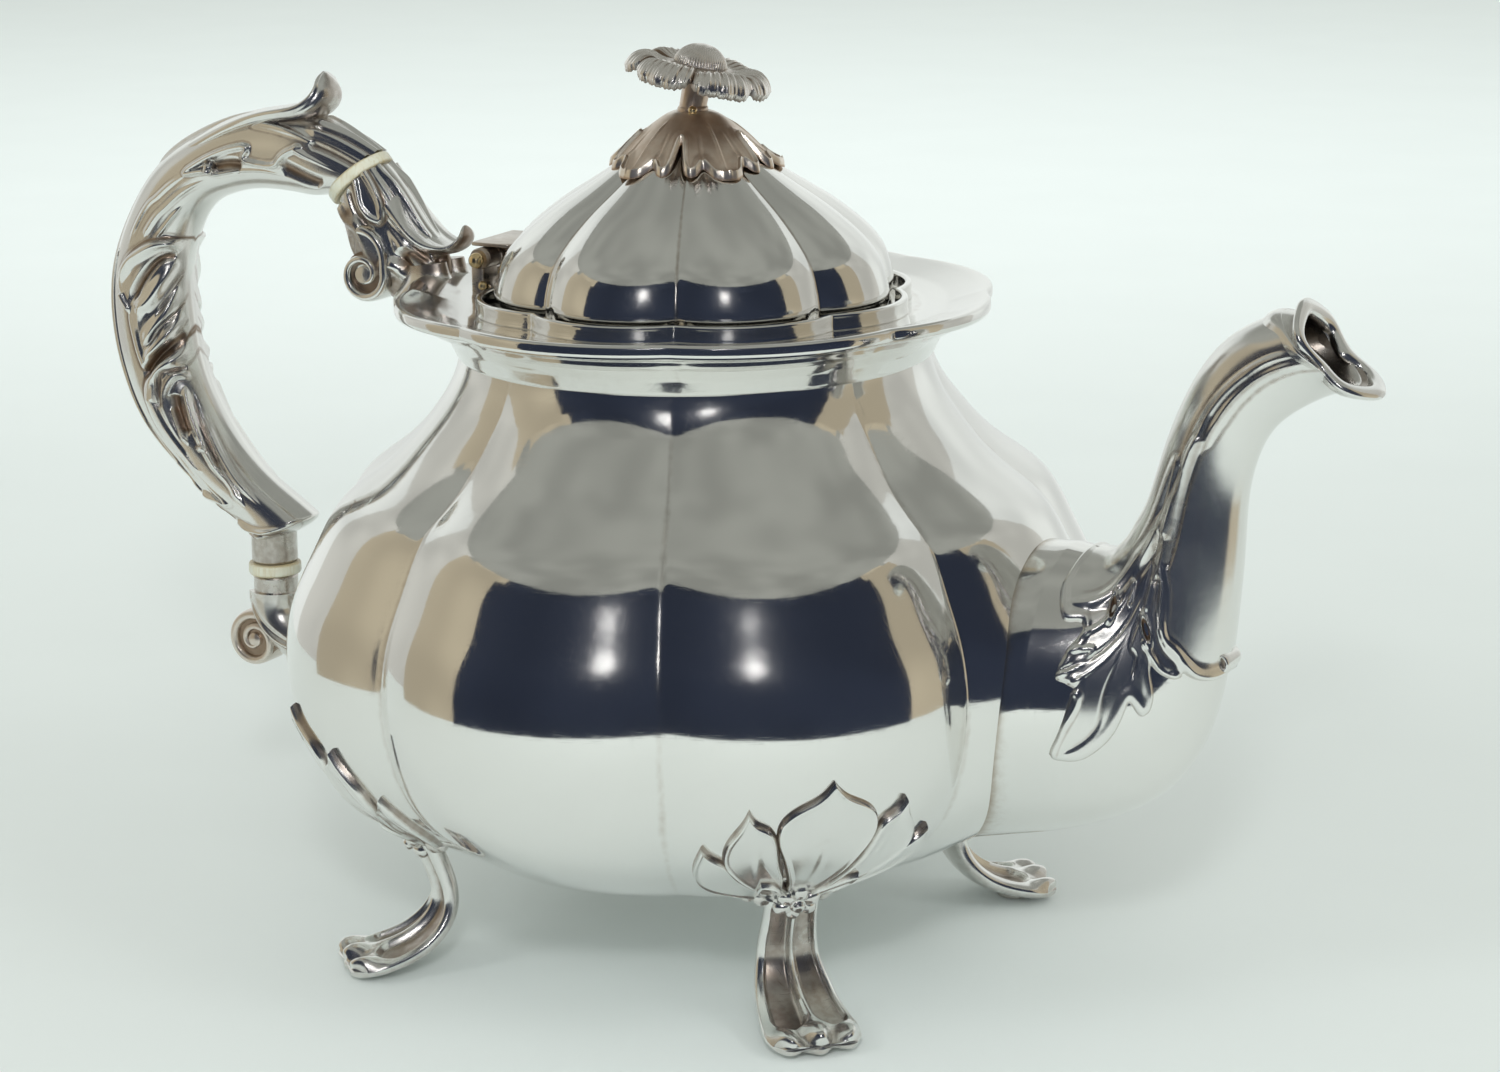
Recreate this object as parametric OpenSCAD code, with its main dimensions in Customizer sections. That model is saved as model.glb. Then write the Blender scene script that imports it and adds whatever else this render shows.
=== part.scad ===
// Eight-lobed silver teapot on four feet, with a hinged lid and an insulated scroll handle.
// +X runs to the spout, -X to the handle, +Z is up. The origin is on the pot's axis, at the
// level of the surface that it stands on. All sizes are in millimetres.

/* [Body] */
// Radius of the belly at the middle of a lobe
belly_r = 83.4; // [80:0.1:86]
// Height of the widest part of the belly
belly_h = 64; // [61:0.5:67]
// Radius of the neck
neck_r = 47.3; // [46.5:0.1:48.2]
// Height of the narrowest part of the neck
neck_h = 120; // [119:0.5:121]
// Height of the flat underside
base_h = 21; // [20:0.5:22]
// Groove radius of the belly, as a share of its lobe radius
belly_groove = 0.932; // [0.92:0.002:0.96]
// Thickness of the silver sheet
wall = 1.2; // [1:0.1:1.5]

/* [Rim] */
// Radius of the wide flange at the middle of a lobe
flange_r = 59.7; // [58.5:0.1:60.5]
// Height of the flange where the collar stands on it
flange_h = 130.4; // [129.8:0.1:131]
// Rise of the flange from the collar to its edge
flange_rise = 2.8; // [2:0.1:3.2]
// Radius of the mouth
mouth_r = 36.3; // [36:0.1:37]
// Radius of the collar at the middle of a lobe
collar_r = 43.9; // [43.6:0.1:44.2]
// Height of the collar above the flange
collar_rise = 3.2; // [2.8:0.1:3.4]

/* [Lid] */
// Radius of the lid at the middle of a lobe
lid_r = 40.2; // [39.8:0.1:40.4]
// Height of the dome, from the flange to the foot of the finial
dome_rise = 34.6; // [33.8:0.2:35.4]
// Total height of the pot, to the top of the finial
total_h = 182; // [181:0.2:183]
// Tilt of the finial flower, in degrees
flower_tilt = 9; // [0:1:11]

/* [Hinge] */
// Distance of the hinge pin from the pot's axis
hinge_x = 43.6; // [43.4:0.1:44]
// Height of the hinge pin
hinge_h = 137.8; // [137.6:0.1:138.2]
// Radius of the hinge pin
pin_r = 1; // [0.9:0.05:1.1]
// Running clearance between the pin and the lid's knuckle
pin_play = 0.05; // [0.03:0.01:0.08]
// Length of the hinge along the pin
hinge_w = 20; // [18:0.5:22]

/* [Feet] */
// Distance of the foot pads from the pot's axis
foot_r = 68; // [66:0.5:70]
// Width of a toe
toe_w = 18.4; // [17:0.2:19]

/* [Handle] */
// Width of the handle across its middle
handle_w = 15; // [13:0.5:17]
// Radius of the upper insulator ring
upper_ring_r = 7.6; // [7.4:0.1:7.8]
// Radius of the lower insulator ring
lower_ring_r = 5.6; // [5.4:0.1:5.8]
// Thickness of the insulator rings
ring_t = 2.6; // [2.2:0.1:3]

/* [Hidden] */

$fn = 64;
lobes = 8;
sides_per_lobe = 6;          // facets round one lobe
around = lobes * sides_per_lobe;
spline_steps = 2;            // facets between two outline points
lobe_half = 180 / lobes;
silver = [0.82, 0.82, 0.80];
tarnish = [0.60, 0.54, 0.47];
ivory = [0.90, 0.88, 0.76];
gilt = [0.70, 0.58, 0.36];

// ---------------------------------------------------------------- shared functions

function blend(a, b, t) = a + (b - a) * t;

// One span of a Catmull-Rom curve, for numbers or vectors
function span(a, b, c, d, t) =
    0.5 * (2 * b + (c - a) * t + (2 * a - 5 * b + 4 * c - d) * t * t
           + (3 * b - a - 3 * c + d) * t * t * t);

// Smooth curve through the points
function smooth(pts, steps = spline_steps) =
    let (last = len(pts) - 1)
    [for (i = [0:last - 1], k = [0:steps - 1])
        span(pts[max(i - 1, 0)], pts[i], pts[i + 1], pts[min(i + 2, last)], k / steps),
     pts[last]];

// Radius of the arc, as a share of the lobe radius, that gives a lobe its groove
function lobe_arc(groove) =
    let (s = 1 - groove * cos(lobe_half), h = groove * sin(lobe_half))
    (h * h + s * s) / (2 * s);

// Radius of the lobed outline at an angle: lobes are arcs and meet in grooves
function lobe_radius(angle, r, groove) =
    let (arc = lobe_arc(groove), c = 1 - arc,
         a = (angle + 360 + lobe_half) % (2 * lobe_half) - lobe_half)
    r * (c * cos(a) + sqrt(arc * arc - pow(c * sin(a), 2)));

// Closed level ring of a lobed outline
function lobe_ring(r, z, groove) =
    [for (i = [0:around - 1]) let (a = i * 360 / around, q = lobe_radius(a, r, groove))
        [q * cos(a), q * sin(a), z]];

// Skin over rings of equal length. A ring runs counterclockwise seen from the front of the
// direction of travel. Open ends are capped; a looped skin joins its last ring to its first.
module skin(rings, looped = false) {
    n = len(rings[0]);
    m = len(rings);
    bands = looped ? m - 1 : m - 2;
    walls = [for (i = [0:bands], j = [0:n - 1])
        let (k = (j + 1) % n, g = (i + 1) % m, a = i * n + j, b = i * n + k, c = g * n + k,
             d = g * n + j)
        each [[a, d, c], [a, c, b]]];
    caps = looped ? [] : [[for (j = [0:n - 1]) j],
                          [for (j = [n - 1:-1:0]) (m - 1) * n + j]];
    polyhedron(points = [for (ring = rings) each ring], faces = concat(walls, caps),
               convexity = 8);
}

// Flat lobed disc outline built from true arcs
module lobe_outline(r, groove) {
    arc = lobe_arc(groove) * r;
    circle(r = 0.9 * groove * r);
    for (i = [0:lobes - 1])
        rotate(i * 2 * lobe_half) translate([r - arc, 0]) circle(r = arc);
}

// Runs its children in the upright plane through the pot's axis, with Y as height
module upright() {
    rotate([90, 0, 0]) children();
}

// ---------------------------------------------------------------- belly surface

body_outline = [
    [30, base_h], [43, base_h + 1.2], [53, base_h + 4.4], [62, base_h + 9.2],
    [0.845 * belly_r, base_h + 14.6], [0.915 * belly_r, base_h + 20.4],
    [0.972 * belly_r, belly_h - 13.4], [belly_r, belly_h],
    [0.978 * belly_r, belly_h + 11.5], [0.93 * belly_r, belly_h + 20],
    [0.858 * belly_r, neck_h - 26], [62.6, neck_h - 18.6], [54.8, neck_h - 11.8],
    [50, neck_h - 7.4], [neck_r + 0.6, neck_h - 3.4], [neck_r, neck_h],
    [neck_r + 0.1, flange_h - 1.4]
];
body_curve = smooth(body_outline);

// The grooves fade out up the neck
function groove_at(z) =
    lookup(z, [[base_h, 0.955], [base_h + 14, belly_groove], [neck_h - 22, belly_groove],
               [neck_h - 6, 0.965], [neck_h, 0.985]]);

belly_table = [for (p = body_curve) [p[1], p[0]]];
function belly_radius(z) = lookup(z, belly_table);

// Distance out from the axis, on the belly of the lobe at +X, at a sideways offset and height
function on_belly(y, z) =
    let (r = belly_radius(z), g = groove_at(z),
         q1 = lobe_radius(atan2(y, r), r, g), x1 = sqrt(max(q1 * q1 - y * y, 1)),
         q2 = lobe_radius(atan2(y, x1), r, g))
    sqrt(max(q2 * q2 - y * y, 1));

// ---------------------------------------------------------------- spout surface

spout_mid_h = 60;            // middle of the spout's root
spout_root_w = 24.6;         // half width of the root
spout_root_h = 30;           // half height of the root
spout_wall = 1;
spout_sides = 20;

// Under point x, z; upper point x, z; half width
spout_sections = [
    [79, 33.6, 80.5, 90.2, 23.4],
    [91, 37.8, 86, 89.6, 20.5],
    [101.5, 45, 89.5, 90.2, 17],
    [108, 55.5, 91.4, 91.8, 13.8],
    [111.3, 68, 93, 94, 11.6],
    [113, 81, 94.6, 97, 10.1],
    [113.9, 92, 96.4, 100.6, 9],
    [114.4, 101, 98.2, 106.3, 8.3],
    [116, 109, 100.6, 114, 7.8],
    [119.7, 116.2, 104.4, 122.8, 7.6],
    [126.6, 121.6, 110, 130.8, 7.7],
    [133.2, 124.4, 116.4, 135.4, 8.2],
    [136.8, 124.2, 121.6, 138, 8.8]
];
spout_curve = smooth(spout_sections, 2);
neck_start = 6;              // first spout_curve row of the cast neck

function section_point(s, angle, out = 0) =
    let (half = [s[0] - s[2], 0, s[1] - s[3]] / 2, mid = [s[0] + s[2], 0, s[1] + s[3]] / 2,
         grow = (norm(half) + out) / norm(half))
    mid + half * grow * cos(angle) + [0, (s[4] + out) * sin(angle), 0];

function section_ring(s, sides, out = 0) =
    [for (i = [0:sides - 1]) section_point(s, i * 360 / sides, out)];

function root_ring(out = 0, sink = 0) =
    [for (i = [0:spout_sides - 1])
        let (a = i * 360 / spout_sides, y = (spout_root_w + out) * sin(a),
             z = spout_mid_h - (spout_root_h + out) * cos(a))
        [on_belly(y, z) - sink, y, z]];

function reversed(list) = [for (i = [len(list) - 1:-1:0]) list[i]];

// ---------------------------------------------------------------- handle surface

// Outer point x, z; inner point x, z; half width
handle_sections = [
    [-72.9, 156.4, -83.4, 147.2, 6.4],
    [-80.5, 160.8, -87.6, 146.6, 7],
    [-92, 164.4, -93, 147, 0.48 * handle_w],
    [-104.8, 163, -101.6, 147.2, 0.48 * handle_w],
    [-116.4, 158.4, -108, 146, 0.5 * handle_w],
    [-126.8, 151.6, -113.6, 143.6, 0.5 * handle_w],
    [-134.8, 140.8, -118.2, 138, 0.5 * handle_w],
    [-139.6, 129, -120.8, 129, 0.5 * handle_w],
    [-140.4, 117, -120.6, 119.4, 0.5 * handle_w],
    [-138.2, 105.6, -118.8, 108.8, 0.49 * handle_w],
    [-133.8, 95.8, -115, 100, 0.47 * handle_w],
    [-126.6, 87.8, -109.4, 91.8, 0.44 * handle_w],
    [-118, 81, -103, 85.6, 0.42 * handle_w],
    [-109.6, 75.8, -96.4, 81.2, 0.41 * handle_w],
    [-104.4, 73, -91.4, 79.4, 0.4 * handle_w],
    [-105.6, 70.4, -90.2, 77.2, 0.44 * handle_w]
];
handle_sides = 16;

upper_ring_mid = [-77.4, 0, 150.9];
upper_ring_tilt = 139.5;     // turn about Y that lays the ring's axis along the handle
lower_ring_mid = [-102.5, 0, 66];
tenon_r = 2.4;
tenon_len = 16;
tenon_play = 0.05;

// Outer point x, z; inner point x, z; half width
upper_socket_sections = [
    [-71.2, 154.4, -81.7, 145.4, 6.4],
    [-66.4, 149.4, -78.4, 140.6, 6.6],
    [-62.2, 143.6, -74, 136.4, 6.6],
    [-58.4, 139.4, -69.4, 133.6, 6.2],
    [-54.6, 135.6, -66, 130.6, 5.6],
    [-54.4, 133, -64, 127, 4.8]
];
upper_scroll_mid = [-74.4, 133];
upper_scroll_r = 6.1;
upper_scroll_w = 8.6;

lower_socket_sections = [
    [-107.3, 61, -97.7, 61, 4.8],
    [-107, 56.4, -97.6, 57.6, 4.9],
    [-104.4, 50.4, -95.2, 55.2, 5],
    [-97.6, 46, -91, 53.6, 5.2],
    [-90, 44.4, -86.4, 53.4, 5.6],
    [-80.6, 43.8, -81.2, 54, 6.2]
];
lower_scroll_mid = [-106.6, 50.2];
lower_scroll_r = 6.8;
lower_scroll_w = 8.4;

// ---------------------------------------------------------------- pot

module body_shell() {
    outer = [for (p = body_curve) lobe_ring(p[0], p[1], groove_at(p[1]))];
    inner = [for (p = reversed(body_curve))
        lobe_ring(p[0] - wall, max(p[1], base_h + wall), groove_at(p[1]))];
    hole_r = 15;
    color(silver) difference() {
        skin(concat(outer, [for (i = [0:len(inner) - 3]) inner[i]]));
        translate([belly_r - 14, 0, spout_mid_h]) rotate([0, 90, 0]) cylinder(r = hole_r, h = 20);
    }
}

module rim_flange() {
    edge_t = 2.6;
    plate_t = 1.4;
    top_in = flange_h;
    top_out = flange_h + flange_rise;
    cove_r = neck_r + 0.15;
    color(silver) intersection() {
        translate([0, 0, neck_h]) linear_extrude(20) lobe_outline(flange_r, 0.975);
        rotate_extrude() polygon([
            [mouth_r, top_in - plate_t], [mouth_r, top_in], [collar_r, top_in],
            [flange_r + 1, top_out], [flange_r + 1, top_out - edge_t],
            [flange_r - 4.5, top_out - edge_t - 1.2], [cove_r + 3.4, flange_h - 2.6],
            [cove_r + 1.6, flange_h - 4], [cove_r + 0.8, flange_h - 5.8],
            [cove_r, flange_h - 6], [cove_r, top_in - plate_t]
        ]);
    }
}

module collar_ring() {
    collar_t = 1.6;
    color(silver) translate([0, 0, flange_h]) linear_extrude(collar_rise) difference() {
        lobe_outline(collar_r, 0.923);
        lobe_outline(collar_r - collar_t, 0.921);
    }
}

module strainer() {
    plate_r = 16.4;
    hole_r = 1.5;
    pitch = 5;
    rows = 3;
    row_h = pitch * sin(60);
    color(silver) translate([belly_r - 7.2, 0, spout_mid_h]) rotate([0, 90, 0]) difference() {
        cylinder(r = plate_r, h = 0.9);
        for (row = [-rows + 1:rows - 1], k = [0:2 * rows - 2 - abs(row)])
            translate([row * row_h, (k - (2 * rows - 2 - abs(row)) / 2) * pitch, -1])
                cylinder(r = hole_r, h = 3, $fn = 24);
    }
}

module spout_base() {
    last = neck_start + 1;
    outer = [root_ring(0, 0.15),
             for (i = [0:last]) section_ring(spout_curve[i], spout_sides)];
    inner = [for (i = [last:-1:0]) section_ring(spout_curve[i], spout_sides, -spout_wall),
             root_ring(-1.8, 0.15)];
    color(silver) skin(concat(outer, inner), looped = true);
}

module spout_neck() {
    skin_t = 0.9;            // how far the casting stands proud of the base
    last = len(spout_curve) - 2;
    outer = [for (i = [neck_start:last]) section_ring(spout_curve[i], spout_sides,
             i < neck_start + 3 ? skin_t : 0.2)];
    inner = [for (i = [last:-1:neck_start]) section_ring(spout_curve[i], spout_sides,
             i < neck_start + 2 ? 0.05 : -spout_wall)];
    color(silver) skin(concat(outer, inner), looped = true);
}

// Everted pouring lip, its sides set back from its ends
module spout_lip() {
    end = spout_curve[len(spout_curve) - 1];
    start = spout_curve[len(spout_curve) - 2];
    lip = [139.8, 123, 125.4, 140.9, 9.8];
    normal = [0.75, 0, 0.66];
    function saddle(s, out, ahead) =
        [for (i = [0:spout_sides - 1]) let (a = i * 360 / spout_sides)
            section_point(s, a, out) + normal * (ahead + 1.1 * cos(2 * a))];
    color(silver) skin([section_ring(start, spout_sides, 0.2),
                        section_ring(end, spout_sides, 0.1),
                        saddle(lip, -0.4, -1.4), saddle(lip, 0.1, -0.4), saddle(lip, -0.6, 0.2),
                        saddle(lip, -1.6, -0.2), section_ring(end, spout_sides, -spout_wall),
                        section_ring(start, spout_sides, -spout_wall)], looped = true);
}

// Little scroll where the casting ends under the spout
module spout_scroll() {
    color(silver) translate([109.8, 3, 72]) upright() {
        cylinder(r = 2.6, h = 6);
        translate([0, 0, -0.6]) cylinder(r = 1.2, h = 7.2);
    }
}

// Long leaf lying along the side of the bulb, tip towards the belly
module spout_leaf() {
    thick = 0.9;
    rows = 8;
    half_cols = 2;
    function leaf_point(u, v, out) =
        let (row = 1 + u * (neck_start - 0.2), i = floor(row), s = blend(spout_curve[i],
             spout_curve[i + 1], row - i), spread = 24 * sin(180 * pow(u, 0.7)) + 3)
        section_point(s, 92 + 12 * u - v * spread, out);
    function strip(out) =
        [for (i = [0:rows]) [for (j = [-half_cols:half_cols])
            leaf_point(i / rows, j / half_cols, out)]];
    upper = strip(thick);
    lower = strip(-0.1);
    color(silver) skin([for (i = [0:rows]) concat(reversed(upper[i]), lower[i])]);
}

// ---------------------------------------------------------------- feet

// Distance from the axis, height, half width, half thickness of the leg's sections
leg_sections = [
    [57.6, 26.4, 5.4, 2.4], [55.6, 21.4, 5.4, 2.3], [54.4, 17.4, 5.8, 2.3],
    [54.2, 13.4, 6.3, 2.3], [56.4, 9, 0.4 * toe_w, 2.3],
    [61, 5.4, 0.45 * toe_w, 2.4], [66.6, 3.3, 0.5 * toe_w, 2.3], [71.6, 2.8, 0.5 * toe_w, 2.1],
    [75, 3, 0.42 * toe_w, 1.6]
];
leg_angles = [45, -45, 135, -135];
pad_r = 4;

module leg() {
    path = smooth(leg_sections, 2);
    last = len(path) - 1;
    sides = 12;
    function leg_ring(i) =
        let (p = path[i], q = path[min(i + 1, last)], o = path[max(i - 1, 0)],
             run = [q[0] - o[0], 0, q[1] - o[1]] / norm([q[0] - o[0], q[1] - o[1]]),
             across = [run[2], 0, -run[0]])
        [for (k = [0:sides - 1]) let (a = k * 360 / sides)
            [p[0], 0, p[1]] + across * p[3] * cos(a) + [0, p[2] * sin(a), 0]];
    color(silver) union() {
        skin([for (i = [0:last]) leg_ring(i)]);
        translate([foot_r, 0, 0]) cylinder(r = pad_r, h = 2);
    }
}

// Half outline of the leaf, from its middle tip: angle round its root, reach
leaf_outline = [
    [0, 28], [8, 25.4], [17, 23], [23.8, 20.8], [27, 24], [32, 26.5], [40, 23.6], [46, 20.6],
    [51, 19.4], [57, 24.5], [66, 19.6], [76, 13.4], [86, 9.4]
];
leaf_root_h = 27;

// Five-petal lily that joins a leg to the belly
module leg_leaf() {
    thick = 1.5;
    rows = 3;
    last = len(leaf_outline) - 1;
    rim = [for (i = [last:-1:1]) [-leaf_outline[i][0], leaf_outline[i][1]],
           for (p = leaf_outline) p];
    function leaf_point(p, u, out) =
        let (d = u * p[1], y = d * sin(p[0]), z = leaf_root_h + d * cos(p[0]))
        [on_belly(y, z) + out, y, z];
    function strip(p, out) = [for (u = [0:rows]) leaf_point(p, blend(0.1, 1, u / rows), out)];
    color(silver) skin([for (p = rim) concat(reversed(strip(p, thick)), strip(p, -0.1))]);
}

// Small flower bosses over the roots of the legs
module leg_bosses() {
    for (a = leg_angles)
        color(silver) rotate(a) translate([57.8, 0, 27.4]) rotate([0, 124, 0]) {
            cylinder(r = 3, h = 2.4);
            translate([0, 0, 2.4]) cylinder(r1 = 2.2, r2 = 1.2, h = 0.8);
        }
}

// ---------------------------------------------------------------- handle

module tenon_bore(r = tenon_r + tenon_play) {
    cylinder(r = r, h = tenon_len + 1, center = true);
}

module at_upper_ring() {
    translate(upper_ring_mid) rotate([0, upper_ring_tilt, 0]) children();
}

module insulator(r) {
    color(ivory) {
        cylinder(r = r, h = ring_t, center = true);
        cylinder(r = tenon_r, h = tenon_len, center = true);
    }
}

module handle_scroll() {
    path = smooth(handle_sections, 2);
    color(silver) difference() {
        union() {
            skin([for (s = path) section_ring(s, handle_sides)]);
            translate([lower_ring_mid[0], 0, lower_ring_mid[2] + ring_t / 2 + 0.05])
                cylinder(r = 4.9, h = 8.4);
        }
        at_upper_ring() tenon_bore();
        translate(lower_ring_mid) tenon_bore();
        at_upper_ring() cylinder(r = 12, h = ring_t + 0.1, center = true);
    }
}

// Curled leaf where the thumb rests
module thumb_leaf() {
    path = smooth([
        [-96, 165.4, -95, 163.6, 4], [-90.4, 166, -90.2, 163.6, 4.8],
        [-86.4, 167.6, -84.4, 163, 4.8], [-86.2, 170.4, -81.6, 164, 3.8],
        [-86.2, 171.8, -82.4, 168.2, 2]], 2);
    color(silver) skin([for (s = reversed(path)) section_ring(s, 12)]);
}

module upper_socket() {
    path = smooth(upper_socket_sections, 2);
    foot_w = 11;
    color(silver) difference() {
        union() {
            skin([for (s = reversed(path)) section_ring(s, handle_sides)]);
            translate([0, foot_w / 2, 0]) upright() linear_extrude(foot_w)
                polygon([[-65, 123], [-67.6, 128.2], [-64, 134], [-55.4, 134.6],
                         [-54.6, 132], [-57.4, 127.6]]);
        }
        at_upper_ring() tenon_bore();
        at_upper_ring() cylinder(r = 12, h = ring_t + 0.1, center = true);
    }
}

module upper_scroll() {
    color(tarnish) translate([upper_scroll_mid[0], upper_scroll_w / 2, upper_scroll_mid[1]])
        upright() {
            cylinder(r = upper_scroll_r, h = upper_scroll_w);
            translate([0, 0, -0.6]) cylinder(r = 2.2, h = upper_scroll_w + 1.2);
        }
}

module lower_socket() {
    path = smooth(lower_socket_sections, 2);
    color(silver) difference() {
        union() {
            skin([for (s = path) section_ring(s, handle_sides)]);
            translate([lower_ring_mid[0], 0, 59])
                cylinder(r = 4.8, h = lower_ring_mid[2] - ring_t / 2 - 59.05);
        }
        translate(lower_ring_mid) tenon_bore();
    }
}

module lower_scroll() {
    color(tarnish) translate([lower_scroll_mid[0], lower_scroll_w / 2, lower_scroll_mid[1]])
        upright() {
            cylinder(r = lower_scroll_r, h = lower_scroll_w);
            translate([0, 0, -0.6]) cylinder(r = 2.4, h = lower_scroll_w + 1.2);
        }
}

module upper_insulator() {
    at_upper_ring() insulator(upper_ring_r);
}

module lower_insulator() {
    translate(lower_ring_mid) insulator(lower_ring_r);
}

// Four cross pins that hold the insulator tenons
module handle_pins() {
    pin = 0.6;
    upper_len = 11.8;
    lower_len = 9.2;
    offset = 5;              // from the middle of the ring
    color(silver) for (side = [-1, 1]) {
        at_upper_ring() translate([0, 0, side * offset]) rotate([90, 0, 0])
            cylinder(r = pin, h = upper_len, center = true, $fn = 24);
        translate(lower_ring_mid + [0, 0, side * offset]) rotate([90, 0, 0])
            cylinder(r = pin, h = lower_len, center = true, $fn = 24);
    }
}

// ---------------------------------------------------------------- hinge

knuckle_r = 2.3;
knuckle_gap = 0.35;
lid_knuckle_w = 7.6;
post_t = 2.4;                // thickness of the upright under the knuckles

module at_hinge() {
    translate([-hinge_x, 0, hinge_h]) rotate([90, 0, 0]) children();
}

module hinge_plate() {
    side_w = (hinge_w - lid_knuckle_w) / 2 - knuckle_gap;
    post_x = -hinge_x - knuckle_r - 0.2;
    color(tarnish) difference() {
        union() {
            for (side = [-1, 1])
                translate([0, side * (hinge_w - side_w) / 2, 0]) {
                    at_hinge() cylinder(r = knuckle_r, h = side_w, center = true);
                    translate([post_x, -side_w / 2, flange_h])
                        cube([post_t, side_w, hinge_h - flange_h]);
                }
            translate([post_x, -hinge_w / 2, flange_h])
                cube([post_t, hinge_w, hinge_h - knuckle_r - 0.4 - flange_h]);
        }
        at_hinge() cylinder(r = pin_r + pin_play, h = hinge_w + 2, center = true);
    }
}

module hinge_pin() {
    ball_r = 1.45;
    color(gilt) {
        at_hinge() cylinder(r = pin_r, h = hinge_w + 1.6, center = true);
        for (side = [-1, 1])
            translate([-hinge_x, side * (hinge_w / 2 + 1.2), hinge_h]) sphere(r = ball_r);
    }
}

module hinge_leaf() {
    tongue_t = 1.6;
    tongue_w = lid_knuckle_w;
    root_x = -0.955 * lid_r;
    color(tarnish) difference() {
        union() {
            at_hinge() cylinder(r = knuckle_r, h = tongue_w, center = true);
            translate([-hinge_x, -tongue_w / 2, hinge_h + knuckle_r - tongue_t])
                cube([root_x + hinge_x, tongue_w, tongue_t]);
        }
        at_hinge() cylinder(r = pin_r + pin_play, h = tongue_w + 2, center = true);
    }
}

// ---------------------------------------------------------------- lid

lid_bottom = flange_h + 0.5;
dome_top = flange_h + dome_rise;
lid_outline = [
    [0.985 * lid_r, lid_bottom], [lid_r, flange_h + 3.2], [0.985 * lid_r, flange_h + 7],
    [0.945 * lid_r, flange_h + 11], [0.87 * lid_r, flange_h + 14.6],
    [0.776 * lid_r, flange_h + 17.8], [0.657 * lid_r, flange_h + 21.2],
    [0.535 * lid_r, flange_h + 24.2], [0.41 * lid_r, flange_h + 27.4],
    [0.29 * lid_r, flange_h + 30.6], [0.18 * lid_r, dome_top - 1.4], [3, dome_top]
];
lid_groove = 0.915;
lid_wall = 1;
stud_r = 1.4;

module lid_dome() {
    curve = smooth(lid_outline, 2);
    outer = [for (p = curve) lobe_ring(p[0], p[1], lid_groove)];
    inner = [for (p = reversed(curve))
        lobe_ring(max(p[0] - lid_wall, 2.2), max(p[1] - 0.9 * lid_wall, lid_bottom), lid_groove)];
    color(silver) difference() {
        skin(concat(inner, outer));
        translate([0, 0, dome_top - 5]) cylinder(r = stud_r + 0.05, h = 10);
    }
}

// Lobed plate with a guide ring that drops into the mouth
module lid_bezel() {
    guide_r = mouth_r - 0.9;
    guide_t = 0.9;
    color(silver) difference() {
        union() {
            translate([0, 0, lid_bottom + 0.2]) linear_extrude(0.8)
                lobe_outline(lid_r - lid_wall - 0.75, 0.9);
            translate([0, 0, flange_h - 4]) cylinder(r = guide_r, h = 5);
        }
        cylinder(r = guide_r - guide_t, h = 2 * total_h);
    }
}

// Drooping leaves under the finial
module calyx() {
    leaf_r = 17;
    color(tarnish) intersection() {
        translate([0, 0, dome_top - 12]) linear_extrude(20) difference() {
            union() {
                circle(r = 9);
                for (i = [0:4]) rotate(i * 72) {
                    translate([leaf_r - 5.4, 0]) circle(r = 5.4);
                    for (side = [-1, 1]) rotate(side * 24) translate([leaf_r - 5.6, 0])
                        circle(r = 3.6);
                }
            }
            circle(r = stud_r + 0.05);
        }
        rotate_extrude() polygon([
            [0, dome_top + 0.1], [4.4, dome_top + 0.1], [9.2, dome_top - 2.1],
            [14.2, dome_top - 5.2],
            [18, dome_top - 7], [18, dome_top - 5.4], [16, dome_top - 4], [13.4, dome_top - 1.4],
            [9.4, dome_top + 1.8], [5, dome_top + 3.2], [0, dome_top + 3.6]
        ]);
    }
}

stem_low = dome_top + 3;
flower_h = total_h - 5.8;    // height of the flower's eye

module finial_stem() {
    color(tarnish) difference() {
        rotate_extrude() polygon([
            [0, stem_low], [3.1, stem_low], [2.6, stem_low + 1.4], [2.6, flower_h - 1.2],
            [3.4, flower_h + 0.2], [0, flower_h + 0.2]
        ]);
        translate([0, 0, stem_low - 1]) cylinder(r = stud_r + 0.05, h = 5);
    }
}

module at_flower() {
    translate([1.2, 0.6, flower_h]) rotate([0, 0, 28]) rotate([0, flower_tilt, 0]) children();
}

module finial_flower() {
    petal_r = 14.4;
    color(silver) at_flower() intersection() {
        translate([0, 0, -3]) linear_extrude(8) union() {
            circle(r = 10);
            for (i = [0:5]) rotate(i * 60) translate([petal_r - 6.4, 0]) circle(r = 6.4);
        }
        rotate_extrude() polygon([
            [0, 0.4], [5, 0.3], [9, 0.6], [13, 0.2], [15, -0.9], [15, 0.4], [13, 1.7],
            [9, 2.2], [4.6, 1.8], [0, 1.8]
        ]);
    }
}

module finial_boss() {
    boss_r = 5.2;
    color(silver) at_flower() intersection() {
        translate([0, 0, 0.6]) sphere(r = boss_r);
        translate([0, 0, 1.9]) cylinder(r = boss_r + 1, h = 6);
    }
}

module finial_bead() {
    color(gilt) rotate(-62) translate([3.5, 0, dome_top + 4]) sphere(r = 0.9);
}

module finial_stud() {
    color(silver) translate([0, 0, dome_top - 6]) cylinder(r = stud_r, h = 12);
}

module finial_washer() {
    color(silver) translate([0, 0, dome_top - 2.2]) difference() {
        cylinder(r = 4, h = 0.8);
        translate([0, 0, -1]) cylinder(r = stud_r + 0.05, h = 3);
    }
}

module finial_nut() {
    color(gilt) translate([0, 0, dome_top - 5]) difference() {
        cylinder(r = 3.2, h = 2.7, $fn = 6);
        translate([0, 0, -1]) cylinder(r = stud_r + 0.05, h = 5);
    }
}

// ---------------------------------------------------------------- assembly

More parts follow.
